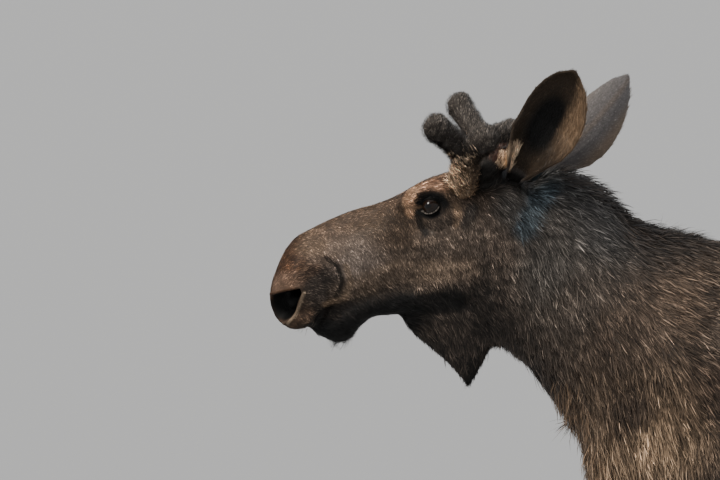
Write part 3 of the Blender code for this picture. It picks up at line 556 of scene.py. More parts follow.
# A guide says how the coat is near a place: its name, the place, the way its hair points (on
# the head's axes for the face; out, back and up for the body), its colour, the length and
# width of a tuft, and how high its tip stands, as a share of its length.
Guide = namedtuple("Guide", "place way colour length width stand", defaults=[0.16])
FACE_GUIDES = (
    ("nose tip", (2, -20, 0), (3, 9, 1), RUST, 5, 0.9),
    ("nose top", (60, 75, 10), (20, 3, 2), RUST, 8, 1),
    ("nose side", (60, 30, 60), (8, 1, 3), RUST, 8, 1),
    ("wing", (110, -10, 75), (7, -6, 0), UMBER, 7, 1),
    ("upper lip", (50, -75, 45), (5, -8, 2), BROWN, 7, 1),
    ("lip side", (100, -60, 65), (1, -1, 0), UMBER, 8, 1),
    ("chin", (85, -125, 35), (3, -4, 0), SOOT, 12, 1.1, 0.25),
    ("under the chin", (120, -155, 0), (8, -5, 0), INK, 15, 1.2, 0.3),
    ("bridge", (160, 105, 0), (100, 2, 5), TAN, 7, 0.9),
    ("upper bridge", (280, 100, 0), (20, 0, 1), TAN, 8, 0.9),
    ("muzzle side high", (170, 60, 60), (7, -18, 0), (0.23, 0.168, 0.128), 6.5, 0.9),
    ("muzzle side", (210, -10, 60), (1, -20, 0), (0.28, 0.222, 0.184), 7, 0.9),
    ("muzzle low", (210, -70, 55), (1, -10, 0), UMBER, 10, 1.1),
    ("jaw bar", (220, -125, 40), (3, -4, 0), SOOT, 13, 1.2, 0.2),
    ("under the jaw", (260, -155, 0), (3, -1, 0), INK, 18, 1.4, 0.25),
    ("before the eye", (340, 35, 75), (1, -10, 0), BROWN, 7, 0.9),
    ("brow", (420, 95, 60), (19, 2, 6), TAN, 11, 1.2, 0.2),
    ("forehead", (430, 105, 0), (20, 2, 1), BROWN, 16, 1.4, 0.22),
    ("crown", (530, 90, 0), (9, 3, 1), UMBER, 24, 1.7, 0.3),
    ("under the eye", (420, -35, 90), (0, -1, 0), FAWN, 8, 1),
    ("behind the eye", (500, 20, 85), (1, -10, 0), BROWN, 10, 1.1),
    ("cheek front", (330, -70, 70), (-1, -20, 0), DUN, 8.5, 1),
    ("cheek", (420, -100, 90), (-3, -25, 0), (0.15, 0.112, 0.085), 11, 1.2, 0.18),
    ("cheek back", (500, -60, 90), (-1, -10, 0), FAWN, 13, 1.2, 0.18),
    ("jaw angle", (410, -180, 55), (0, -1, 0), SEPIA, 16, 1.4, 0.22),
    ("throat", (430, -210, 0), (1, -1, 0), INK, 22, 1.6, 0.18),
    ("before the ear", (560, 60, 60), (10, 15, 4), SEPIA, 22, 1.4, 0.22),
    ("under the ear", (590, -30, 85), (35, -93, 0), STONE, 22, 1.6, 0.22),
)
BODY_GUIDES = {
    "bell": (
        ("front", (0.3, 0.2, 0.6), (0, 7, -20), SEPIA, 22, 1.6, 0.15),
        ("side", (1, 0.6, 0.6), (1, 2, -10), SEPIA, 24, 1.7, 0.16),
        ("tip", (0.5, 0.9, 0.1), (0, -1, -10), INK, 18, 1.5, 0.15),
        ("back", (0.3, 1.1, 0.7), (0, -1, -5), SEPIA, 26, 1.7, 0.22),
    ),
    "neck": (
        ("poll", (0, 0.22, 1), (1, 9, -3), (0.04, 0.039, 0.037), 34, 2, 0.3),
        ("crest", (0, 0.65, 0.83), (1, 6, -2), SEPIA, 48, 2.4, 0.34),
        ("top side", (0.55, 0.45, 0.85), (2, 15, -10), (0.062, 0.058, 0.054), 34, 2.1, 0.22),
        ("high", (0.7, 0.22, 0.7), (0, 4, -9), (0.076, 0.067, 0.058), 26, 1.8, 0.22),
        ("high mid", (0.8, 0.35, 0.6), (0, 45, -88), (0.07, 0.056, 0.045), 28, 1.9, 0.22),
        ("mid", (0.9, 0.55, 0.5), (0, 10, -17), (0.072, 0.052, 0.038), 32, 2, 0.22),
        ("back", (0.95, 0.85, 0.6), (1, 17, -10), BROWN, 34, 2.2, 0.22),
        ("low", (0.9, 0.65, 0.2), (0, 25, -97), (0.048, 0.034, 0.025), 36, 2.2, 0.24),
        ("throat high", (0.2, 0.1, 0.25), (0, 35, -93), SEPIA, 36, 2, 0.32),
        ("throat low", (0.2, 0.35, 0), (0, 25, -97), DUN, 46, 2.4, 0.34),
    ),
    "chest": (
        ("hump", (0, 0.75, 1), (1, 10, 0), UMBER, 52, 2.8, 0.32),
        ("hump side", (0.5, 0.7, 0.93), (2, 19, -5), BROWN, 42, 2.6, 0.24),
        ("shoulder high", (0.85, 0.5, 0.8), (0, 93, -35), DUN, 36, 2.3, 0.2),
        ("shoulder", (1, 0.5, 0.62), (0, 1, -1), (0.072, 0.049, 0.035), 34, 2.3, 0.2),
        ("shoulder front", (0.8, 0.22, 0.5), (0, 25, -97), SAND, 40, 2.4, 0.25),
        ("upper arm", (0.95, 0.5, 0.3), (0, 35, -93), UMBER, 34, 2.3, 0.2),
        ("breast", (0.3, 0.02, 0.35), (0, 1, -10), SAND, 58, 2.6, 0.3),
        ("brisket", (0.2, 0.3, 0.05), (0, 4, -9), UMBER, 50, 2.6, 0.3),
        ("girth", (1, 0.92, 0.4), (0, 4, -3), UMBER, 34, 2.5, 0.2),
        ("elbow", (0.8, 0.75, 0.05), (0, 3, -4), UMBER, 34, 2.4, 0.22),
    ),
    "barrel": (
        ("back", (0, 0.5, 1), (1, 20, 0), UMBER, 42, 2.8, 0.24),
        ("ribs high", (0.8, 0.5, 0.8), (0, 23, -10), BROWN, 38, 2.7, 0.18),
        ("ribs", (1, 0.5, 0.5), (0, 4, -3), BROWN, 38, 2.7, 0.18),
        ("belly side", (0.8, 0.5, 0.15), (-2, 15, -13), UMBER, 40, 2.7, 0.22),
        ("belly", (0, 0.5, 0), (0, 10, -1), SEPIA, 36, 2.6, 0.22),
    ),
    "rump": (
        ("loin", (0, 0.2, 1), (1, 10, -1), UMBER, 38, 2.7, 0.2),
        ("croup", (0.3, 0.75, 0.93), (2, 8, -5), UMBER, 36, 2.6, 0.2),
        ("flank", (0.95, 0.12, 0.35), (0, 11, -17), UMBER, 36, 2.6, 0.2),
        ("haunch", (0.9, 0.5, 0.6), (0, 11, -17), BROWN, 36, 2.6, 0.18),
        ("buttock", (0.7, 0.97, 0.45), (1, 2, -10), BROWN, 36, 2.6, 0.22),
        ("between the hind legs", (0.1, 0.6, 0.05), (0, 3, -4), DUN, 30, 2.4, 0.2),
    ),
    "tail": (
        ("top", (0, 1, 0.6), (0, 1, -5), SEPIA, 34, 2.2, 0.25),
        ("under", (0, 0.3, 0.3), (0, 1, -5), DUN, 30, 2.2, 0.25),
    ),
}


def leg_guides(limb, lean):
    """The coat of a leg: dark at the top, then paler and greyer towards the foot."""
    return {
        f"left_{limb}_upper": (
            ("top", (1, 0.5, 0.9), (0, 35, -93), UMBER, 28, 2.1, 0.18),
            ("top in", (0.35, 0.5, 0.9), (0, 6, -19), DUN, 24, 2, 0.18),
            ("upper", (1, 0.5, 0.4), (0, lean, -1), DUN, 18, 1.7, 0.13),
            ("upper front", (0.7, 0, 0.4), (0, lean, -1), BROWN, 18, 1.7, 0.13),
            ("upper back", (0.7, 1, 0.5), (0, 3, -10), ASH, 20, 1.7, 0.16),
        ),
        f"left_{limb}_lower": (
            ("lower", (0.8, 0.5, 0.6), (0, 1, -20), ASH, 13, 1.4, 0.1),
            ("lower front", (0.8, 0, 0.6), (0, 1, -20), DUN, 13, 1.4, 0.1),
            ("back", (0.8, 1, 0.5), (0, 1, -4), ASH, 16, 1.5, 0.14),
            ("foot", (0.8, 0.3, 0.1), (0, -3, -20), BROWN, 14, 1.4, 0.1),
            ("fetlock", (0.8, 1, 0.13), (0, 7, -20), BROWN, 30, 1.6, 0.3),
            ("coronet", (0.8, 0.3, 0), (0, -3, -20), UMBER, 22, 1.4, 0.14),
        ),
    }


BODY_GUIDES |= leg_guides("foreleg", 0.05) | leg_guides("hindleg", 0.2)
GUIDES = [Guide(head_at(*place), head_way(*way), *rest) for _, place, way, *rest in FACE_GUIDES]
for body_node, rows in BODY_GUIDES.items():
    for _, place, way, *rest in rows:
        GUIDES.append(Guide(on(body_node, *place), Vector(way).normalized(), *rest))
GUIDE_PLACES = np.array([guide.place for guide in GUIDES])
GUIDE_VALUES = np.array([
    (*guide.way, guide.length / 1000, guide.width / 1000, guide.stand, *guide.colour)
    for guide in GUIDES
])
CHUNK = 20000  # how many points are worked out at a time
BLEND, BLEND_POWER = 4e-4, 2.2  # how softly the guides run into each other
# How deep the skin lies: its share of the tips' height, what is added to it, and on the ears.
SKIN_SHARE, SKIN_MARGIN, EAR_DEPTH = 0.85, 0.0008, 0.0012
SKIN_SHADE = 0.55  # how dark the skin is beside the hair


def guided(points):
    """Each point's guide values, blended so that near guides count most."""
    values = np.empty((len(points), GUIDE_VALUES.shape[1]))
    for first in range(0, len(points), CHUNK):
        part = slice(first, first + CHUNK)
        apart = mirrored(points[part])[:, None] - GUIDE_PLACES
        pull = 1 / (np.square(apart).sum(2) + BLEND) ** BLEND_POWER
        values[part] = pull @ GUIDE_VALUES / pull.sum(1, keepdims=True)
    values[:, 0] *= np.sign(points[:, 0])
    values[:, :3] = unit(values[:, :3])
    return values


def coat_depth(points):
    """How far inside the solids the skin lies: the coat's height."""
    values = guided(points)
    depth = SKIN_SHARE * values[:, 3] * values[:, 5] + SKIN_MARGIN
    on_ear = smooth(0, 0.03, ear_height(points))
    return depth * (1 - on_ear) + EAR_DEPTH * on_ear


# ======== markings, and painted light and shade
# A mark colours the coat along a line of (back, above) places: its name, width, strength,
# colour and places.  It fades out towards the midline, unless it is a midline mark.
# Some marks are painted light or shade, as the comments beside them say.
MARKS = (
    ("bridge", 55, 0.8, (0.155, 0.1, 0.067), (100, 100), (360, 105)),
    ("nose front", 50, 0.85, (0.096, 0.049, 0.027), (90, 75), (10, 10)),
    ("nose top", 34, 0.55, TAN, (120, 80), (150, 66)),
    ("nose pad", 14, 0.9, SOOT, (-2, -8), (2, -40)),
    ("above the nostril", 24, 0.6, (0.26, 0.17, 0.12), (30, 26), (55, 28), (84, 14)),
    ("low cheek", 42, 0.9, BLACK, (150, -112), (280, -132), (380, -160)),
    ("chin", 44, 0.97, BLACK, (70, -112), (120, -130)),
    # Partly pale hair, partly a painted highlight along the cheekbone.
    ("cheek light", 36, 0.5, (0.3, 0.215, 0.15), (150, -45), (290, -58), (440, -110)),
    ("mouth dark", 18, 0.85, BLACK, (56, -92), (110, -72), (195, -88)),
    ("upper lip", 20, 0.8, (0.09, 0.055, 0.036), (30, -70), (70, -60)),
    ("wing", 44, 0.75, (0.048, 0.038, 0.032), (112, -20), (140, -6)),
    ("wing top", 16, 0.7, (0.08, 0.05, 0.034), (92, 18), (130, 22)),
    # Painted shade: black along the crease behind the nostril's wing.
    ("painted shade in the wing fold", 8, 0.8, BLACK, (160, 34), (176, 8), (170, -28), (140, -52)),
    # Partly pale hair, partly a painted highlight on the ridge behind the wing's fold.
    ("fold light", 10, 0.45, SAND, (192, 0), (186, -34), (152, -64), (112, -58)),
    ("nostril rim", 4.2, 0.6, CREAM, (86, -16), (66, -36), (48, -52), (20, -64)),
    # Partly tan hair, partly a painted highlight where light falls on the brow.
    ("brow", 26, 0.85, (0.34, 0.195, 0.122), (392, 78), (425, 86), (458, 76)),
    # Painted shadow: black over the eye, where the brow shades it.
    ("painted shadow over the eye", 18, 0.92, BLACK, (394, 48), (404, 66), (430, 64), (456, 42)),
    # Painted shade: black in the socket round the eye.
    ("painted shade in the eye socket", 24, 0.9, BLACK, (408, 42), (442, 34)),
    ("under the eye", 21, 0.7, SEPIA, (400, 2), (445, -6)),
    # Partly pale hair, partly a painted highlight on the brow's front edge.
    ("brow light", 15, 0.9, (0.62, 0.38, 0.23), (372, 50), (380, 74), (402, 94)),
    ("tear line", 12, 0.85, BLACK, (402, 46), (390, 40), (382, 14), (388, -6)),
    ("brow top", 10, 0.5, (0.42, 0.27, 0.17), (390, 96), (430, 102)),
    ("before the antler", 13, 0.8, UMBER, (468, 96), (480, 62)),
    ("behind the eye", 12, 0.45, TAN, (466, 50), (474, 20), (456, -14)),
    ("temple", 22, 0.75, (0.018, 0.018, 0.018), (480, -24), (500, 0)),
    ("cheek back", 40, 0.5, FAWN, (480, -50), (520, -110)),
    ("jowl", 44, 0.35, SOOT, (490, -140), (430, -190)),
    ("behind the antler", 36, 0.9, INK, (525, 48), (575, 40), (655, 0)),
    ("red spot", 18, 0.8, (0.085, 0.04, 0.028), (572, 88), (596, 76)),
    # Partly cream hair, partly a painted highlight where strong light falls on the ear's base.
    ("ear base", 18, 0.8, CREAM, (612, 62), (634, 80)),
    # Painted sheen: blue-grey, where sky light shines on the neck behind the ear.
    ("painted blue sheen", 36, 0.72, (0.08, 0.11, 0.128), (712, 52), (645, -22), (585, -78)),
)
MARKS_END = 0.72  # how far behind the nose's tip marks count
MIDLINE_MARKS = {"bridge", "nose front", "nose pad", "low cheek", "chin", "upper lip"}


def paint(colours, share, colour):
    colours += share[:, None] * (np.array(colour) - colours)


def paint_lids(colours, points):
    """Dark bare lids, with the lower one's pale edge."""
    _, _, x, y, reach, near = round_eye(points)
    paint(colours, near * fall(0.005, 0.014, reach), BLACK)
    edge = near * fall(0.0001, 0.0009, np.abs(reach - 0.0005))
    uneven = 0.55 + 0.45 * np.sin(x * 900 + 1.0) * np.sin(x * 370)
    paint(colours, edge * uneven * (y < -0.004) * (np.abs(x) < OPENING), (0.46, 0.4, 0.35))


def paint_ears(colours, points, normals):
    """Grey outside; inside dark in the middle, golden behind, with a tan rim."""
    for side in EAR:
        up, back, inward, on_it = ear_places(points, normals, side)
        paint(colours, on_it, (0.27, 0.248, 0.24))
        vein = fall(0.02, 0.14, np.abs(back - 0.15 * up))
        paint(colours, on_it * vein * (1 - inward) * 0.25, SAND)
        rim = smooth(0.35, 0.9, np.abs(back - 0.05)) * (1 - inward)
        paint(colours, on_it * rim * 0.7, (0.42, 0.3, 0.2))
        inside = on_it * inward
        paint(colours, inside, (0.06, 0.042, 0.028))
        core = np.hypot((back + 0.1) / 0.66, (up - 0.48) / 0.31)
        paint(colours, inside * fall(0.55, 1.05, core), BLACK)
        golden = smooth(0.15, 0.65, back) * smooth(0.25, 0.5, up)
        paint(colours, inside * golden * 0.9, (0.31, 0.205, 0.125))
        edge = smooth(0.1, 0.4, inward) * fall(0.65, 0.95, inward)
        paint(colours, on_it * edge * 0.8, SAND)
        # Partly cream hair, partly a painted highlight where strong light falls on the ear's base.
        low_front = smooth(0.35, 0.6, -back) * fall(0.16, 0.3, up)
        paint(colours, on_it * low_front * 0.85, (0.85, 0.62, 0.42))


def markings_and_painted_light(points, normals):
    """The coat's colour at each point, with painted light and shade, the same for the skin and the hair
    on it.
    """
    colours = guided(points)[:, 6:9].copy()
    places = to_head(points)
    on_side = smooth(0.014, 0.045, places[:, 2])
    on_skull = (places[:, 0] < MARKS_END) & (ear_height(points) < 0.02)
    for name, width, strength, colour, *line in MARKS:
        edge = width / 1000
        share = fall(0.35 * edge, edge, to_head_line(places[:, :2], line))
        share *= 1 if name in MIDLINE_MARKS else on_side
        paint(colours, share * strength * on_skull, colour)
    paint_ears(colours, points, normals)
    paint_lids(colours, points)
    return colours


def bare(points):
    """1 where no hair grows: in the nostrils, on the lids' edges and inside the lids."""
    places = to_head(points)
    nostril = fall(-0.001, 0.002, nostril_reach(places)) * (places[:, 0] < NOSTRIL_ZONE)
    *_, reach, near = round_eye(points)
    return np.maximum(nostril, near * fall(0.002, 0.004, reach))


def closeness(points):
    """1 far from the eyes and nostrils, and small beside them, where hair is short."""
    places = to_head(points)
    by_nose = smooth(-0.006, 0.03, nostril_reach(places))
    share = np.where(places[:, 0] < NOSTRIL_ZONE, by_nose, 1)
    *_, reach, near = round_eye(points)
    by_eye = np.where(near, smooth(-0.006, 0.022, reach), 1)
    return 0.35 + 0.65 * np.minimum(share, by_eye)


# ======== fringes
# A fringe is longer hair round a line, on both sides: how far it reaches from the line,
# how many tufts a side, the way they point (out, back and up), and their other values.
Fringe = namedtuple("Fringe", "name line reach count way length width stand colour")


def head_line(*places):
    return tuple(head_at(*place) for place in places)


FRINGES = (
    # Partly cream hair, partly a painted highlight where strong light falls on the ear's base.
    ("ear base", (ear_at("left", 0.04, -0.58, 0.1), ear_at("left", 0.19, -0.6, 0.1)), 20, 1100,
     (0.22, 0.34, 0.9), 24, 0.9, 0.13, (1, 0.76, 0.53)),
    ("red spot", head_line((575, 88, 55), (592, 74, 70)), 20, 300, (0.2, 0.4, 0.9), 26, 1.3, 0.2,
     (0.1, 0.045, 0.03)),
    ("ear's front edge", (ear_at("left", 0.1, -0.6, 0), ear_at("left", 0.3, -0.9, 0)), 12, 120,
     (0.26, 0.42, 0.85), 16, 0.8, 0.05, SAND),
    ("behind the antler", head_line((545, 66, 55), (565, 52, 75)), 22, 450, (0.2, 0.55, 0.8), 26, 1.3,
     0.22, SOOT),
    ("antler base", head_line((496, 52, 85), (512, 58, 80)), 17, 400, (0.42, -0.28, 1), 19, 1, 0.05,
     (0.72, 0.52, 0.34)),
    ("between the ears", head_line((545, 85, 0), (600, 85, 25)), 30, 600, (0.1, 0.75, 0.5), 34, 1.6,
     0.35, SOOT),
    ("chin whiskers", head_line((80, -140, 10), (130, -150, 20)), 20, 45, (0.1, -0.1, -1), 30, 0.7, 0.6,
     SOOT),
    ("lip whiskers", head_line((50, -85, 45), (85, -70, 65)), 16, 30, (0.5, -0.3, -0.8), 22, 0.6, 0.6,
     DUN),
    ("bell edge", (on("bell", 0, 0.1, 0.6), on("bell", 0, 0.85, 0.25)), 45, 600, (0, 0.1, -1), 18, 1.3,
     0.3, INK),
    ("throat", (on("neck", 0, 0.18, 0.15), on("neck", 0, 0.5, 0)), 55, 420, (0, -0.15, -1), 46, 1.3,
     0.5, TAN),
    ("breast", (on("chest", 0.1, 0, 0.6), on("chest", 0.1, 0.06, 0.28)), 80, 900, (0, -0.1, -1), 60, 2,
     0.45, TAN),
    ("crest", (on("neck", 0, 0.3, 1), on("chest", 0, 0.3, 1)), 50, 700, (0, 0.8, -0.1), 50, 1.9, 0.55,
     SEPIA),
    ("tail", (on("tail", 0, 1, 0.95), on("tail", 0, 1, 0.05)), 50, 280, (0, 0.12, -1), 55, 2, 0.28,
     SOOT),
)


# ======== tufts
# For each row of a tuft's points, how far along it lies and its share of the width, and
# then the corners of the tuft's triangles.
SHAPES = {
    "blade": (((0, 0), (0.35, 1), (1, 0)), ((0, 1, 2), (1, 3, 2))),
    "lock": (
        ((0, 0), (0.28, 1), (0.66, 0.75), (1, 0)),
        ((0, 1, 2), (1, 4, 2), (1, 3, 4), (3, 5, 4)),
    ),
}
PATCH = 0.003  # how wide a tuft's patch is on the bake's map
MOST_GATHERED, GATHERED = 0.55, 0.22  # how far tips lean in, of the way and of the length
ROLL, BEND = 0.35, 0.06  # the spread of the tufts' turns and bends
# Pale tufts are partly paler hair tips, partly painted glints.
PALE = 0.34  # the share of tufts that are pale
ROOT_SHADE = 0.38  # how dark a tuft's root is beside its tip
Style = namedtuple("Style", "way length width stand colour")  # a value for each tuft
# How a piece of tufts is made: their shape, the axis its map is unwrapped round, how wide
# their bunches are, and how much brighter the pale tufts are, partly as painted glints.
Look = namedtuple("Look", "shape axis bunch sparkle", defaults=[0.012, 2.6])


def waves(points, size, rng):
    """A smooth random value over space, about -1 to 1, that changes over `size` metres."""
    total = np.zeros(len(points))
    for _ in range(7):
        way = unit(rng.normal(size=3)) * rng.uniform(0.6, 1.6) * 2 * np.pi / size
        total += np.sin(points @ way + rng.uniform(0, 6.3))
    return total / 2.6


def gathered(root, size):
    """For each root, the way to the middle of its bunch, which is about `size` across."""
    cells = np.floor(root / size + 0.7 * np.sin(root[:, [1, 2, 0]] / size * 2.3)).astype(int)
    _, bunch = np.unique(cells, axis=0, return_inverse=True)
    bunch = bunch.ravel()
    count = np.bincount(bunch)
    middle = np.stack([np.bincount(bunch, root[:, k]) / count for k in range(3)], 1)
    return middle[bunch] - root, bunch


def mesh_of(name, corners, points, normals, colours, uv):
    """A mesh of triangles with a colour and a normal at each point and a bake's map."""
    mesh = bpy.data.meshes.new(name)
    mesh.vertices.add(len(points))
    mesh.vertices.foreach_set("co", points.astype(np.float32).ravel())
    mesh.loops.add(len(corners))
    mesh.loops.foreach_set("vertex_index", corners.astype(np.int32))
    mesh.polygons.add(len(corners) // 3)
    mesh.polygons.foreach_set("loop_start", np.arange(0, len(corners), 3, dtype=np.int32))
    mesh.update(calc_edges=True)
    mesh.shade_smooth()
    set_colours(mesh, colours)
    unwrap = mesh.uv_layers.new(name="OFBake").uv
    unwrap.foreach_set("vector", uv[corners].astype(np.float32).ravel())
    mesh.normals_split_custom_set_from_vertices(normals)
    return mesh


def set_colours(mesh, colours):
    layer = mesh.color_attributes.new("Coat", "FLOAT_COLOR", "POINT")
    filled = np.ones((len(colours), 4), np.float32)
    filled[:, :3] = colours
    layer.data.foreach_set("color", filled.ravel())


def tufts_mesh(name, root, normal, style, look, rng):
    """Solid tufts, bent towards the middles of their bunches, each with its own shade."""
    (shape, faces), sparkle, number = SHAPES[look.shape], look.sparkle, len(root)
    unwrapped = wrapped(root, look.axis)
    side = unit(np.cross(normal, style.way))
    inward, bunch = gathered(root, look.bunch)
    reach = np.maximum(np.linalg.norm(inward, axis=1), 1e-6)
    inward *= np.minimum(MOST_GATHERED, GATHERED * style.length / reach)[:, None]
    bunch_shade = rng.lognormal(-0.03, 0.18 + 0.06 * sparkle, bunch.max() + 1)[bunch]
    roll = rng.normal(0, ROLL, number)[:, None]
    across = side * np.cos(roll) + normal * np.sin(roll)
    lift = unit(normal * np.cos(roll) - side * np.sin(roll))
    bend = rng.normal(0, BEND, number)[:, None]
    shade = (rng.lognormal(-0.12, 0.28 + 0.07 * sparkle, number) * bunch_shade)[:, None]
    # Pale tufts: partly paler hair tips, partly painted glints; the look's sparkle sets how much
    # brighter they are.
    pale = (rng.random(number) < PALE)[:, None] * rng.uniform(0.2, 1.0, (number, 1))
    low_colour = style.colour * shade * ROOT_SHADE
    high_colour = style.colour * shade * (1 + sparkle * pale) + 0.004 * sparkle * pale
    points, normals, colours, uv = ([] for _ in range(4))
    for share, breadth in shape:
        rise = share * (2 - share) * style.stand[:, None] - 0.02 * (share == 0)
        middle = root + share**2 * inward + style.length[:, None] * (
            style.way * share + normal * rise + side * bend * share**2
        )
        facing = unit(0.55 * normal + 0.45 * lift + 0.25 * style.way * (share - 0.4))
        for sign in ((0,) if breadth == 0 else (-1, 1)):
            points.append(middle + sign * across * (style.width[:, None] * breadth / 2))
            normals.append(facing)
            colours.append(low_colour + (high_colour - low_colour) * share**1.3)
            uv.append(unwrapped + PATCH * (np.array([0.5 + 0.5 * sign, share]) - 0.5))
    count = len(points)
    corners = (np.array(faces) + count * np.arange(number)[:, None, None]).ravel()
    rows = (np.stack(values, 1).reshape(number * count, -1)
            for values in (points, normals, colours, uv))
    return mesh_of(name, corners, *rows)


OWNER_NAMES = sorted(FLESH)


def owners(points):
    """For each point, the number of the flesh node nearest to it."""
    vertices, faces, numbers = [], [], []
    for number, name in enumerate(OWNER_NAMES):
        mesh = frame["nodes"][name].data
        first = len(vertices)
        vertices += [vertex.co.copy() for vertex in mesh.vertices]
        faces += [[first + corner for corner in face.vertices] for face in mesh.polygons]
        numbers += [number] * len(mesh.polygons)
    tree = BVHTree.FromPolygons(vertices, faces)
    return np.array([numbers[tree.find_nearest(Vector(point))[2]] for point in points])


class Ground:
    """A mesh as flat arrays, for sowing tufts on it."""

    def __init__(self, mesh):
        mesh.calc_loop_triangles()
        self.corners = read(mesh.loop_triangles, "vertices", 3, np.int32)
        self.points, self.normals = places_of(mesh), normals_of(mesh)
        a, b, c = (self.points[self.corners[:, k]] for k in range(3))
        self.area = np.linalg.norm(np.cross(b - a, c - a), axis=1) / 2
        self.middle = (a + b + c) / 3

    def sow(self, chosen, number, rng):
        """Roots spread evenly over the chosen triangles, and their normals."""
        index = np.flatnonzero(chosen > 0.01)
        run = np.cumsum(self.area[index] * chosen[index])
        spots = (np.arange(number) + rng.random(number)) / number * run[-1]
        found = index[np.minimum(np.searchsorted(run, spots), len(index) - 1)]
        u, v = rng.random(number), rng.random(number)
        over = u + v > 1
        u, v = np.where(over, 1 - u, u), np.where(over, 1 - v, v)
        share = np.stack([1 - u - v, u, v], 1)[:, :, None]
        corners = self.corners[found]
        root = (self.points[corners] * share).sum(1)
        return root, unit((self.normals[corners] * share).sum(1))


def wrapped(points, axis):
    """An unwrap of the skin's own shape: round an axis through its middle, and along it."""
    axis = np.array(Vector(axis).normalized())
    upright = np.array([0.0, 0.0, 1.0]) if abs(axis[2]) < 0.9 else np.array([0.0, 1.0, 0.0])
    side = unit(np.cross(axis, upright))
    middle = (points.min(0) + points.max(0)) / 2
    away = points - middle
    turn = np.arctan2(away @ side, away @ np.cross(side, axis))
    uv = np.stack([turn, away @ axis], 1)
    low, high = uv.min(0), uv.max(0)
    return 0.01 + 0.98 * (uv - low) / (high - low)


def lying(way, normal):
    return unit(way - normal * (way * normal).sum(1, keepdims=True))


def ruffled(way, normal, root, spread, rng):
    """The lie turned a little at random, neighbours alike."""
    turn = (rng.normal(0, spread, len(root)) + 0.16 * waves(root, 0.045, rng))[:, None]
    return unit(way * np.cos(turn) + np.cross(normal, way) * np.sin(turn))


def coat_style(root, normal, rng):
    """The body's hair as the guides say, shorter by the eyes and nostrils."""
    values = guided(root)
    way = ruffled(lying(values[:, :3], normal), normal, root, 0.13, rng)
    short = closeness(root)
    length = values[:, 3] * rng.lognormal(0, 0.2, len(root)) * short
    width = 0.85 * values[:, 4] * rng.lognormal(0, 0.22, len(root)) * (0.4 + 0.6 * short)
    stand = values[:, 5] * rng.uniform(0.35, 1.1, len(root))
    tone = np.exp(0.32 * waves(root, 0.032, rng) + 0.14 * waves(root, 0.25, rng))
    return Style(way, length, width, stand, markings_and_painted_light(root, normal) * tone[:, None])


def ear_style(root, normal, rng):
    """Short fine hair that fans out up the ear, longer on the golden part inside."""
    number = len(root)
    way, long = np.zeros((number, 3)), np.zeros(number)
    for side, ear in EAR.items():
        up, back, inward, on_it = ear_places(root, normal, side)
        fan = back[:, None] * ear.across * SIDES[side]
        drawn = ear.axis + 0.5 * fan * (1 - 2 * inward[:, None])
        way += on_it[:, None] * drawn
        golden = smooth(0, 0.5, back) * smooth(0.1, 0.3, up) * inward
        edge = fall(0.85, 1.0, up)
        long += on_it * (0.005 + 0.002 * inward + 0.01 * golden * edge)
    way = ruffled(lying(way, normal), normal, root, 0.2, rng)
    length = np.maximum(long, 0.004) * rng.lognormal(0, 0.2, number)
    width = 0.0007 * rng.lognormal(0, 0.2, number)
    stand = rng.uniform(0.04, 0.16, number)
    return Style(way, length, width, stand, markings_and_painted_light(root, normal))


def add_riding(name, mesh, material):
    """A piece of one material that stays with the body."""
    mesh.materials.clear()
    mesh.materials.append(material)
    piece = add_object(name, mesh)
    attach(piece, "root")
    return piece


def add_fringes(ground, furry):
    """All the fringes, as one piece."""
    parts = []
    for number, row in enumerate(FRINGES):
        fringe = Fringe(*row)
        rng = np.random.default_rng(FRINGE_SEED + number)
        away = to_line(mirrored(ground.middle), np.array(fringe.line))
        reach = fringe.reach / 1000
        near = fall(0.6 * reach, reach, away) * furry
        root, normal = ground.sow(near, 2 * fringe.count, rng)
        way = np.tile(unit(np.array(fringe.way)), (len(root), 1))
        way[:, 0] *= np.sign(root[:, 0])
        way = ruffled(lying(way, normal), normal, root, 0.16, rng)
        length = fringe.length / 1000 * rng.uniform(0.55, 1.1, len(root))
        width = fringe.width / 1000 * rng.lognormal(0, 0.2, len(root))
        stand = fringe.stand * rng.uniform(0.3, 1.1, len(root))
        colour = np.tile(fringe.colour, (len(root), 1))
        parts.append((root, normal, way, length, width, stand, colour))
    root, normal, *style = (np.concatenate(values) for values in zip(*parts))
    rng = np.random.default_rng(FRINGE_SEED - 1)
    look = Look("lock", (0, 1, 0), 0.012, 1.2)
    mesh = tufts_mesh("coat_fringes", root, normal, Style(*style), look, rng)
    add_riding("coat_fringes", mesh, HAIR)


def add_coat(name, ground, chosen, number, look, style=coat_style):
    """A piece of coat over the chosen triangles of the ground."""
    rng = np.random.default_rng([ord(letter) for letter in name])
    root, normal = ground.sow(chosen, number, rng)
    mesh = tufts_mesh(name, root, normal, style(root, normal, rng), look, rng)
    add_riding(name, mesh, HAIR)


# ======== materials
def new_material(name, roughness, specular):
    material = bpy.data.materials.new(name)
    material.use_nodes = True
    tree = material.node_tree
    shader = tree.nodes["Principled BSDF"]
    shader.inputs["Roughness"].default_value = roughness
    shader.inputs["Specular IOR Level"].default_value = specular
    return tree, shader, material


def node(tree, kind, **settings):
    made = tree.nodes.new("ShaderNode" + kind)
    for key, value in settings.items():
        if key in made.inputs:
            made.inputs[key].default_value = value
        else:
            setattr(made, key, value)
    return made


def link(tree, start, output, end, socket):
    tree.links.new(start.outputs[output], end.inputs[socket])


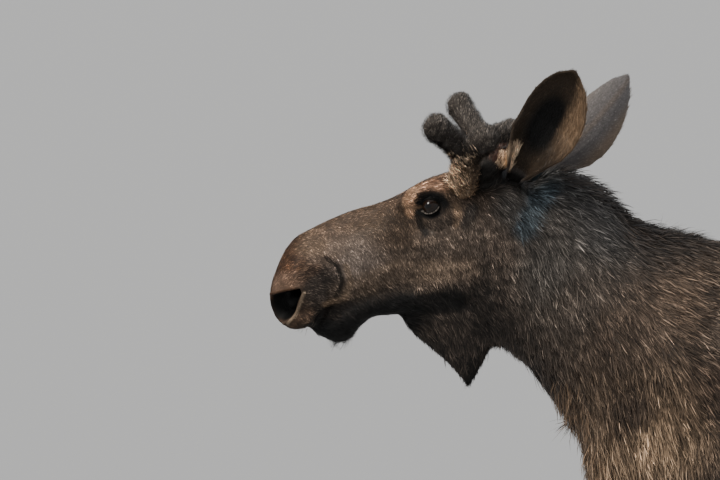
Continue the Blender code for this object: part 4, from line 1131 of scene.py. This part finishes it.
def painted_material(name, roughness, specular, scale, low, high, bump=None, stretch=(1, 1, 1)):
    """The coat's colours, made lighter and darker by fine noise, which also raises bumps of
    some strength and height."""
    tree, shader, material = new_material(name, roughness, specular)
    colour = node(tree, "Attribute", attribute_name="Coat")
    blend = node(tree, "VectorMath", operation="SCALE")
    noise = node(tree, "TexNoise", Scale=scale, Detail=5.0, Roughness=0.65)
    ramp = node(tree, "MapRange", **{"To Min": low, "To Max": high})
    mapping = node(tree, "Mapping", Scale=stretch)
    link(tree, node(tree, "TexCoord"), "Object", mapping, "Vector")
    link(tree, mapping, "Vector", noise, "Vector")
    link(tree, noise, "Fac", ramp, "Value")
    link(tree, colour, "Vector", blend, "Vector")
    link(tree, ramp, "Result", blend, "Scale")
    link(tree, blend, "Vector", shader, "Base Color")
    if bump:
        bumps = node(tree, "Bump", Strength=bump[0], Distance=bump[1])
        link(tree, noise, "Fac", bumps, "Height")
        link(tree, bumps, "Normal", shader, "Normal")
    return material


HAIR = painted_material("coat_hair", 0.52, 0.24, 260, 0.7, 1.35, (0.15, 0.0006))
SKIN = painted_material("skin", 0.62, 0.12, 420, 0.55, 1.45, (0.6, 0.001))
VELVET = painted_material("antler_velvet", 0.85, 0.15, 300, 0.6, 1.4, (0.7, 0.001))
HORN = painted_material("hoof_horn", 0.42, 0.4, 60, 0.6, 1.6, (0.5, 0.0015), (1, 1, 0.15))
EYEBALL = painted_material("eyeball", 0.12, 0.1, 900, 0.7, 1.3)
for socket, value in (("Coat Weight", 0.45), ("Coat Roughness", 0.09)):
    EYEBALL.node_tree.nodes["Principled BSDF"].inputs[socket].default_value = value


# ======== the pieces
def add_piece(name, mesh, material, nodes, colours):
    """A smooth shaded piece that stands for the nodes."""
    set_colours(mesh, colours)
    mesh.shade_smooth()
    piece = add_riding(name, mesh, material)
    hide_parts(*nodes)


def add_skin():
    """The skin of the whole body, and how far each of its points is inside a nostril."""
    mesh = whole_skin()
    points, normals = places_of(mesh), normals_of(mesh)
    put_places(mesh, points - normals * coat_depth(points)[:, None])
    refine(mesh)
    hollow = sculpt(mesh)
    colours = markings_and_painted_light(places_of(mesh), normals_of(mesh)) * SKIN_SHADE
    # Painted shade: the insides of the nostrils are painted black.
    paint(colours, hollow, BLACK)
    add_piece("skin", mesh, SKIN, FLESH, colours)
    return mesh, hollow


IRIS, CORNEA, PUPIL = 0.0135, 0.0016, (0.0085, 0.0045)  # radius, bulge, half width and height


def add_eye(name, side):
    """A ball with a bulging cornea, a brown iris and a long level pupil."""
    axes = eye_axes() * (side, 1, 1)
    bm = bmesh.new()
    bmesh.ops.create_uvsphere(bm, u_segments=72, v_segments=48, radius=1)
    mesh = bpy.data.meshes.new(name)
    bm.to_mesh(mesh)
    bm.free()
    ray = places_of(mesh)
    x, y, z = ray.T * EYE_RADIUS
    off, turn = np.hypot(x, y), np.arctan2(y, x)
    radius = EYE_RADIUS - 0.0004 + CORNEA * fall(0, IRIS, off) * (z > 0)
    grain = 0.5 + 0.5 * np.sin(turn * 46 + 3 * np.sin(turn * 7))
    colours = np.tile((0.012, 0.008, 0.006), (len(ray), 1))
    brown = np.array((0.012, 0.006, 0.0036)) * (0.8 + 0.4 * grain[:, None])
    paint(colours, fall(IRIS - 0.0015, IRIS, off) * (z > 0), brown)
    pupil = fall(0.85, 1.1, np.hypot(x / PUPIL[0], y / PUPIL[1])) * (z > 0)
    paint(colours, pupil, (0.002, 0.002, 0.002))
    if np.linalg.det(axes) < 0:
        mesh.flip_normals()
    put_places(mesh, np.array(centre(name)) + ray @ axes * radius[:, None])
    add_piece(f"{name}ball", mesh, EYEBALL, [name], colours)


def stem_share(points, side):
    """How far up an antler's stem each point is: 0 at its base, 1 at the fork."""
    low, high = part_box(f"{side}_antler_stem")
    return np.clip((points[:, 2] - low.z) / (high.z - low.z), 0, 1.3)


def fuzz(side, root, normal, rng):
    """Short hair that stands on the velvet, tan towards the base."""
    number = len(root)
    way = lying(np.tile((0, 0.25, 1), (number, 1)), normal)
    colour = np.tile((0.08, 0.068, 0.058), (number, 1))
    paint(colour, fall(0.1, 0.7, stem_share(root, side)), (0.34, 0.23, 0.145))
    colour *= rng.choice((0.5, 1.0, 2.6), (number, 1), p=(0.4, 0.4, 0.2))
    length = rng.uniform(0.003, 0.0058, number)
    return Style(way, length, np.full(number, 0.0007), rng.uniform(0.9, 2.0, number), colour)


def base_hair(side, root, normal, rng):
    """Longer hair that follows the stem up from its base, pale in front, partly as a painted highlight.
    """
    number = len(root)
    way = lying(np.tile((SIDES[side] * 0.4, -0.35, 1), (number, 1)), normal)
    way = ruffled(way, normal, root, 0.12, rng)
    colour = np.tile(UMBER, (number, 1))
    # Partly pale hair, partly a painted highlight: paler where it faces forward, towards the key light.
    paint(colour, smooth(-0.9, 0.3, -normal[:, 1]), (0.84, 0.62, 0.42))
    colour *= rng.choice((0.7, 1.3, 1.9), (number, 1))
    length = rng.uniform(0.01, 0.024, number)
    return Style(way, length, np.full(number, 0.001), rng.uniform(0.02, 0.09, number), colour)


VELVET_DEPTH = 0.003  # how far the velvet's skin lies inside the solids
FUZZ, BASE_HAIRS = 22000, 3000  # how many tufts of each an antler has


def add_antler(side):
    """Velvet over the stem and both tines, with short fuzz and long hair at the base."""
    nodes = [f"{side}_antler_{part}" for part in ("stem", "front_tine", "rear_tine")]
    mesh = melted(nodes, VELVET_VOXEL, grow=0)
    relax(mesh, 14)
    points, normals = places_of(mesh), normals_of(mesh)
    rng = np.random.default_rng(ANTLER_SEED)
    lumps = 0.0012 * waves(points, 0.03, rng) + 0.0006 * waves(points, 0.012, rng)
    put_places(mesh, points + normals * (lumps - VELVET_DEPTH)[:, None])
    colours = np.tile((0.04, 0.034, 0.03), (len(points), 1))
    paint(colours, fall(0.2, 0.6, stem_share(points, side)), TAN)
    add_piece(f"{side}_antler", mesh, VELVET, nodes, colours)
    ground = Ground(mesh)
    everywhere = np.ones(len(ground.area))
    look = Look("blade", (0, 0, 1), 0.003)
    add_coat(f"{side}_antler_fuzz", ground, everywhere, FUZZ, look, partial(fuzz, side))
    low = fall(0.45, 0.75, stem_share(ground.middle, side))
    look = Look("lock", (0, 0, 1), 0.01)
    add_coat(f"{side}_antler_hair", ground, low, BASE_HAIRS, look, partial(base_hair, side))


RINGS = 0.0055  # the height of a growth ring on a hoof
SOLE = 0.0018  # below this height a hoof is flat


def add_hooves(side, limb):
    """Horn toes with growth rings and a flat sole."""
    kinds = [f"{kind}_{toe}" for kind in ("hoof", "dewclaw") for toe in ("inner", "outer")]
    nodes = [f"{side}_{limb}_{kind}" for kind in kinds]
    mesh = melted(nodes, HORN_VOXEL, grow=0)
    relax(mesh, 10)
    points, normals = places_of(mesh), normals_of(mesh)
    wall = smooth(0.006, 0.012, points[:, 2]) * (np.abs(normals[:, 2]) < 0.9)
    rng = np.random.default_rng(HOOF_SEED)
    height = points[:, 2] + 0.15 * points[:, 1] + 0.0025 * waves(points, 0.05, rng)
    ring = np.sin(2 * np.pi * height / RINGS) * (0.5 + 0.5 * waves(points, 0.03, rng))
    wear = 0.0005 * waves(points, 0.018, rng)
    points += normals * ((0.00022 * ring + wear) * wall)[:, None]
    points[:, 2] = np.where(points[:, 2] < SOLE, 0, points[:, 2])
    put_places(mesh, points)
    colours = np.tile((0.022, 0.018, 0.015), (len(points), 1)) * (1 + 0.2 * ring * wall)[:, None]
    paint(colours, fall(0, 0.012, points[:, 2]), (0.075, 0.062, 0.05))
    add_piece(f"{side}_{limb}_hooves", mesh, HORN, nodes, colours)


skin_mesh, hollow = add_skin()
for side, sign in SIDES.items():
    add_eye(f"{side}_eye", sign)
    add_antler(side)
    for limb in LIMBS:
        add_hooves(side, limb)

ground = Ground(skin_mesh)
owner = owners(ground.middle)  # whose node each triangle belongs to
furry = (1 - bare(ground.middle)) * (hollow[ground.corners].max(1) < 0.3)


def area(side, *nodes):
    """1 on the furry triangles of one side that these nodes own."""
    chosen = np.isin(owner, [OWNER_NAMES.index(name) for name in nodes]) * furry
    return chosen * (ground.middle[:, 0] * SIDES[side] >= 0)


# The coat's regions: the nodes each one covers, how many fine flat blades and longer curved
# locks it has a side, the axis its map is unwrapped round, and how wide its bunches are.
REGIONS = {
    "head": (("head", "lower_jaw"), 58000, 0, BACK, 0.0038),
    "neck": (("neck", "bell"), 40000, 15000, NECK_AXIS, 0.01),
    "chest": (("chest",), 38000, 15000, (0, 1, 0), 0.012),
    "barrel": (("barrel",), 18000, 10000, (0, 1, 0), 0.016),
    "rump": (("rump", "tail"), 18000, 11000, (0, 1, 0), 0.016),
}
EAR_BLADES, LEG_BLADES = 17000, 21500

for side in SIDES:
    for region, (nodes, blades, locks, axis, bunch) in REGIONS.items():
        chosen = area(side, *nodes)
        add_coat(f"coat_{region}_{side}", ground, chosen, blades, Look("blade", axis, bunch))
        if locks:
            add_coat(f"locks_{region}_{side}", ground, chosen, locks, Look("lock", axis, bunch))
    look = Look("blade", EAR[side].axis, 0.003, 0.4)
    add_coat(f"coat_ear_{side}", ground, area(side, f"{side}_ear"), EAR_BLADES, look, ear_style)
    look = Look("blade", (0, 0, 1), 0.008)
    for limb in LIMBS:
        chosen = area(side, f"{side}_{limb}_upper", f"{side}_{limb}_lower")
        add_coat(f"coat_{side}_{limb}", ground, chosen, LEG_BLADES, look)
add_fringes(ground, furry)


# ======== the stage
def stage():
    bpy.ops.mesh.primitive_plane_add(size=400)
    floor = bpy.context.object
    floor.name = "floor"
    _, shader, material = new_material("floor", 0.9, 0.5)
    shader.inputs["Base Color"].default_value = (0.345, 0.352, 0.358, 1)
    floor.data.materials.append(material)


VIEW_AZIMUTH, VIEW_ELEVATION = math.radians(97.5), math.radians(5)
VIEW_DISTANCE, VIEW_WIDTH, SENSOR = 13.0, 1.584, 36.0
AIM = Vector((0, EYE.y - 0.168, EYE.z - 0.083))


def camera():
    data = bpy.data.cameras.new("camera")
    data.sensor_width = SENSOR
    data.lens = SENSOR * VIEW_DISTANCE / VIEW_WIDTH
    data.clip_end = 500
    made = add_object("camera", data)
    level = math.cos(VIEW_ELEVATION)
    across, ahead = math.sin(VIEW_AZIMUTH) * level, -math.cos(VIEW_AZIMUTH) * level
    towards = Vector((across, ahead, math.sin(VIEW_ELEVATION)))
    made.location = AIM + towards * VIEW_DISTANCE
    made.rotation_euler = towards.to_track_quat("Z", "Y").to_euler()
    bpy.context.scene.camera = made


def sun(name, strength, colour, towards, angle):
    """Light from one way; the angle, in degrees, softens its shadows."""
    data = bpy.data.lights.new(name, "SUN")
    data.energy = strength
    data.color = colour
    data.angle = math.radians(angle)
    made = add_object(name, data)
    made.rotation_euler = Vector(towards).to_track_quat("Z", "Y").to_euler()


def world():
    made = bpy.data.worlds.new("studio")
    made.use_nodes = True
    background = made.node_tree.nodes["Background"]
    background.inputs["Color"].default_value = (0.6, 0.61, 0.63, 1)
    background.inputs["Strength"].default_value = 1.0
    bpy.context.scene.world = made


stage()
world()
sun("key", 3.3, (1.0, 0.93, 0.84), (0.5, -0.6, 0.95), 22)
sun("rim", 0.7, (0.85, 0.92, 1.0), (-0.3, 0.5, 0.9), 30)
camera()
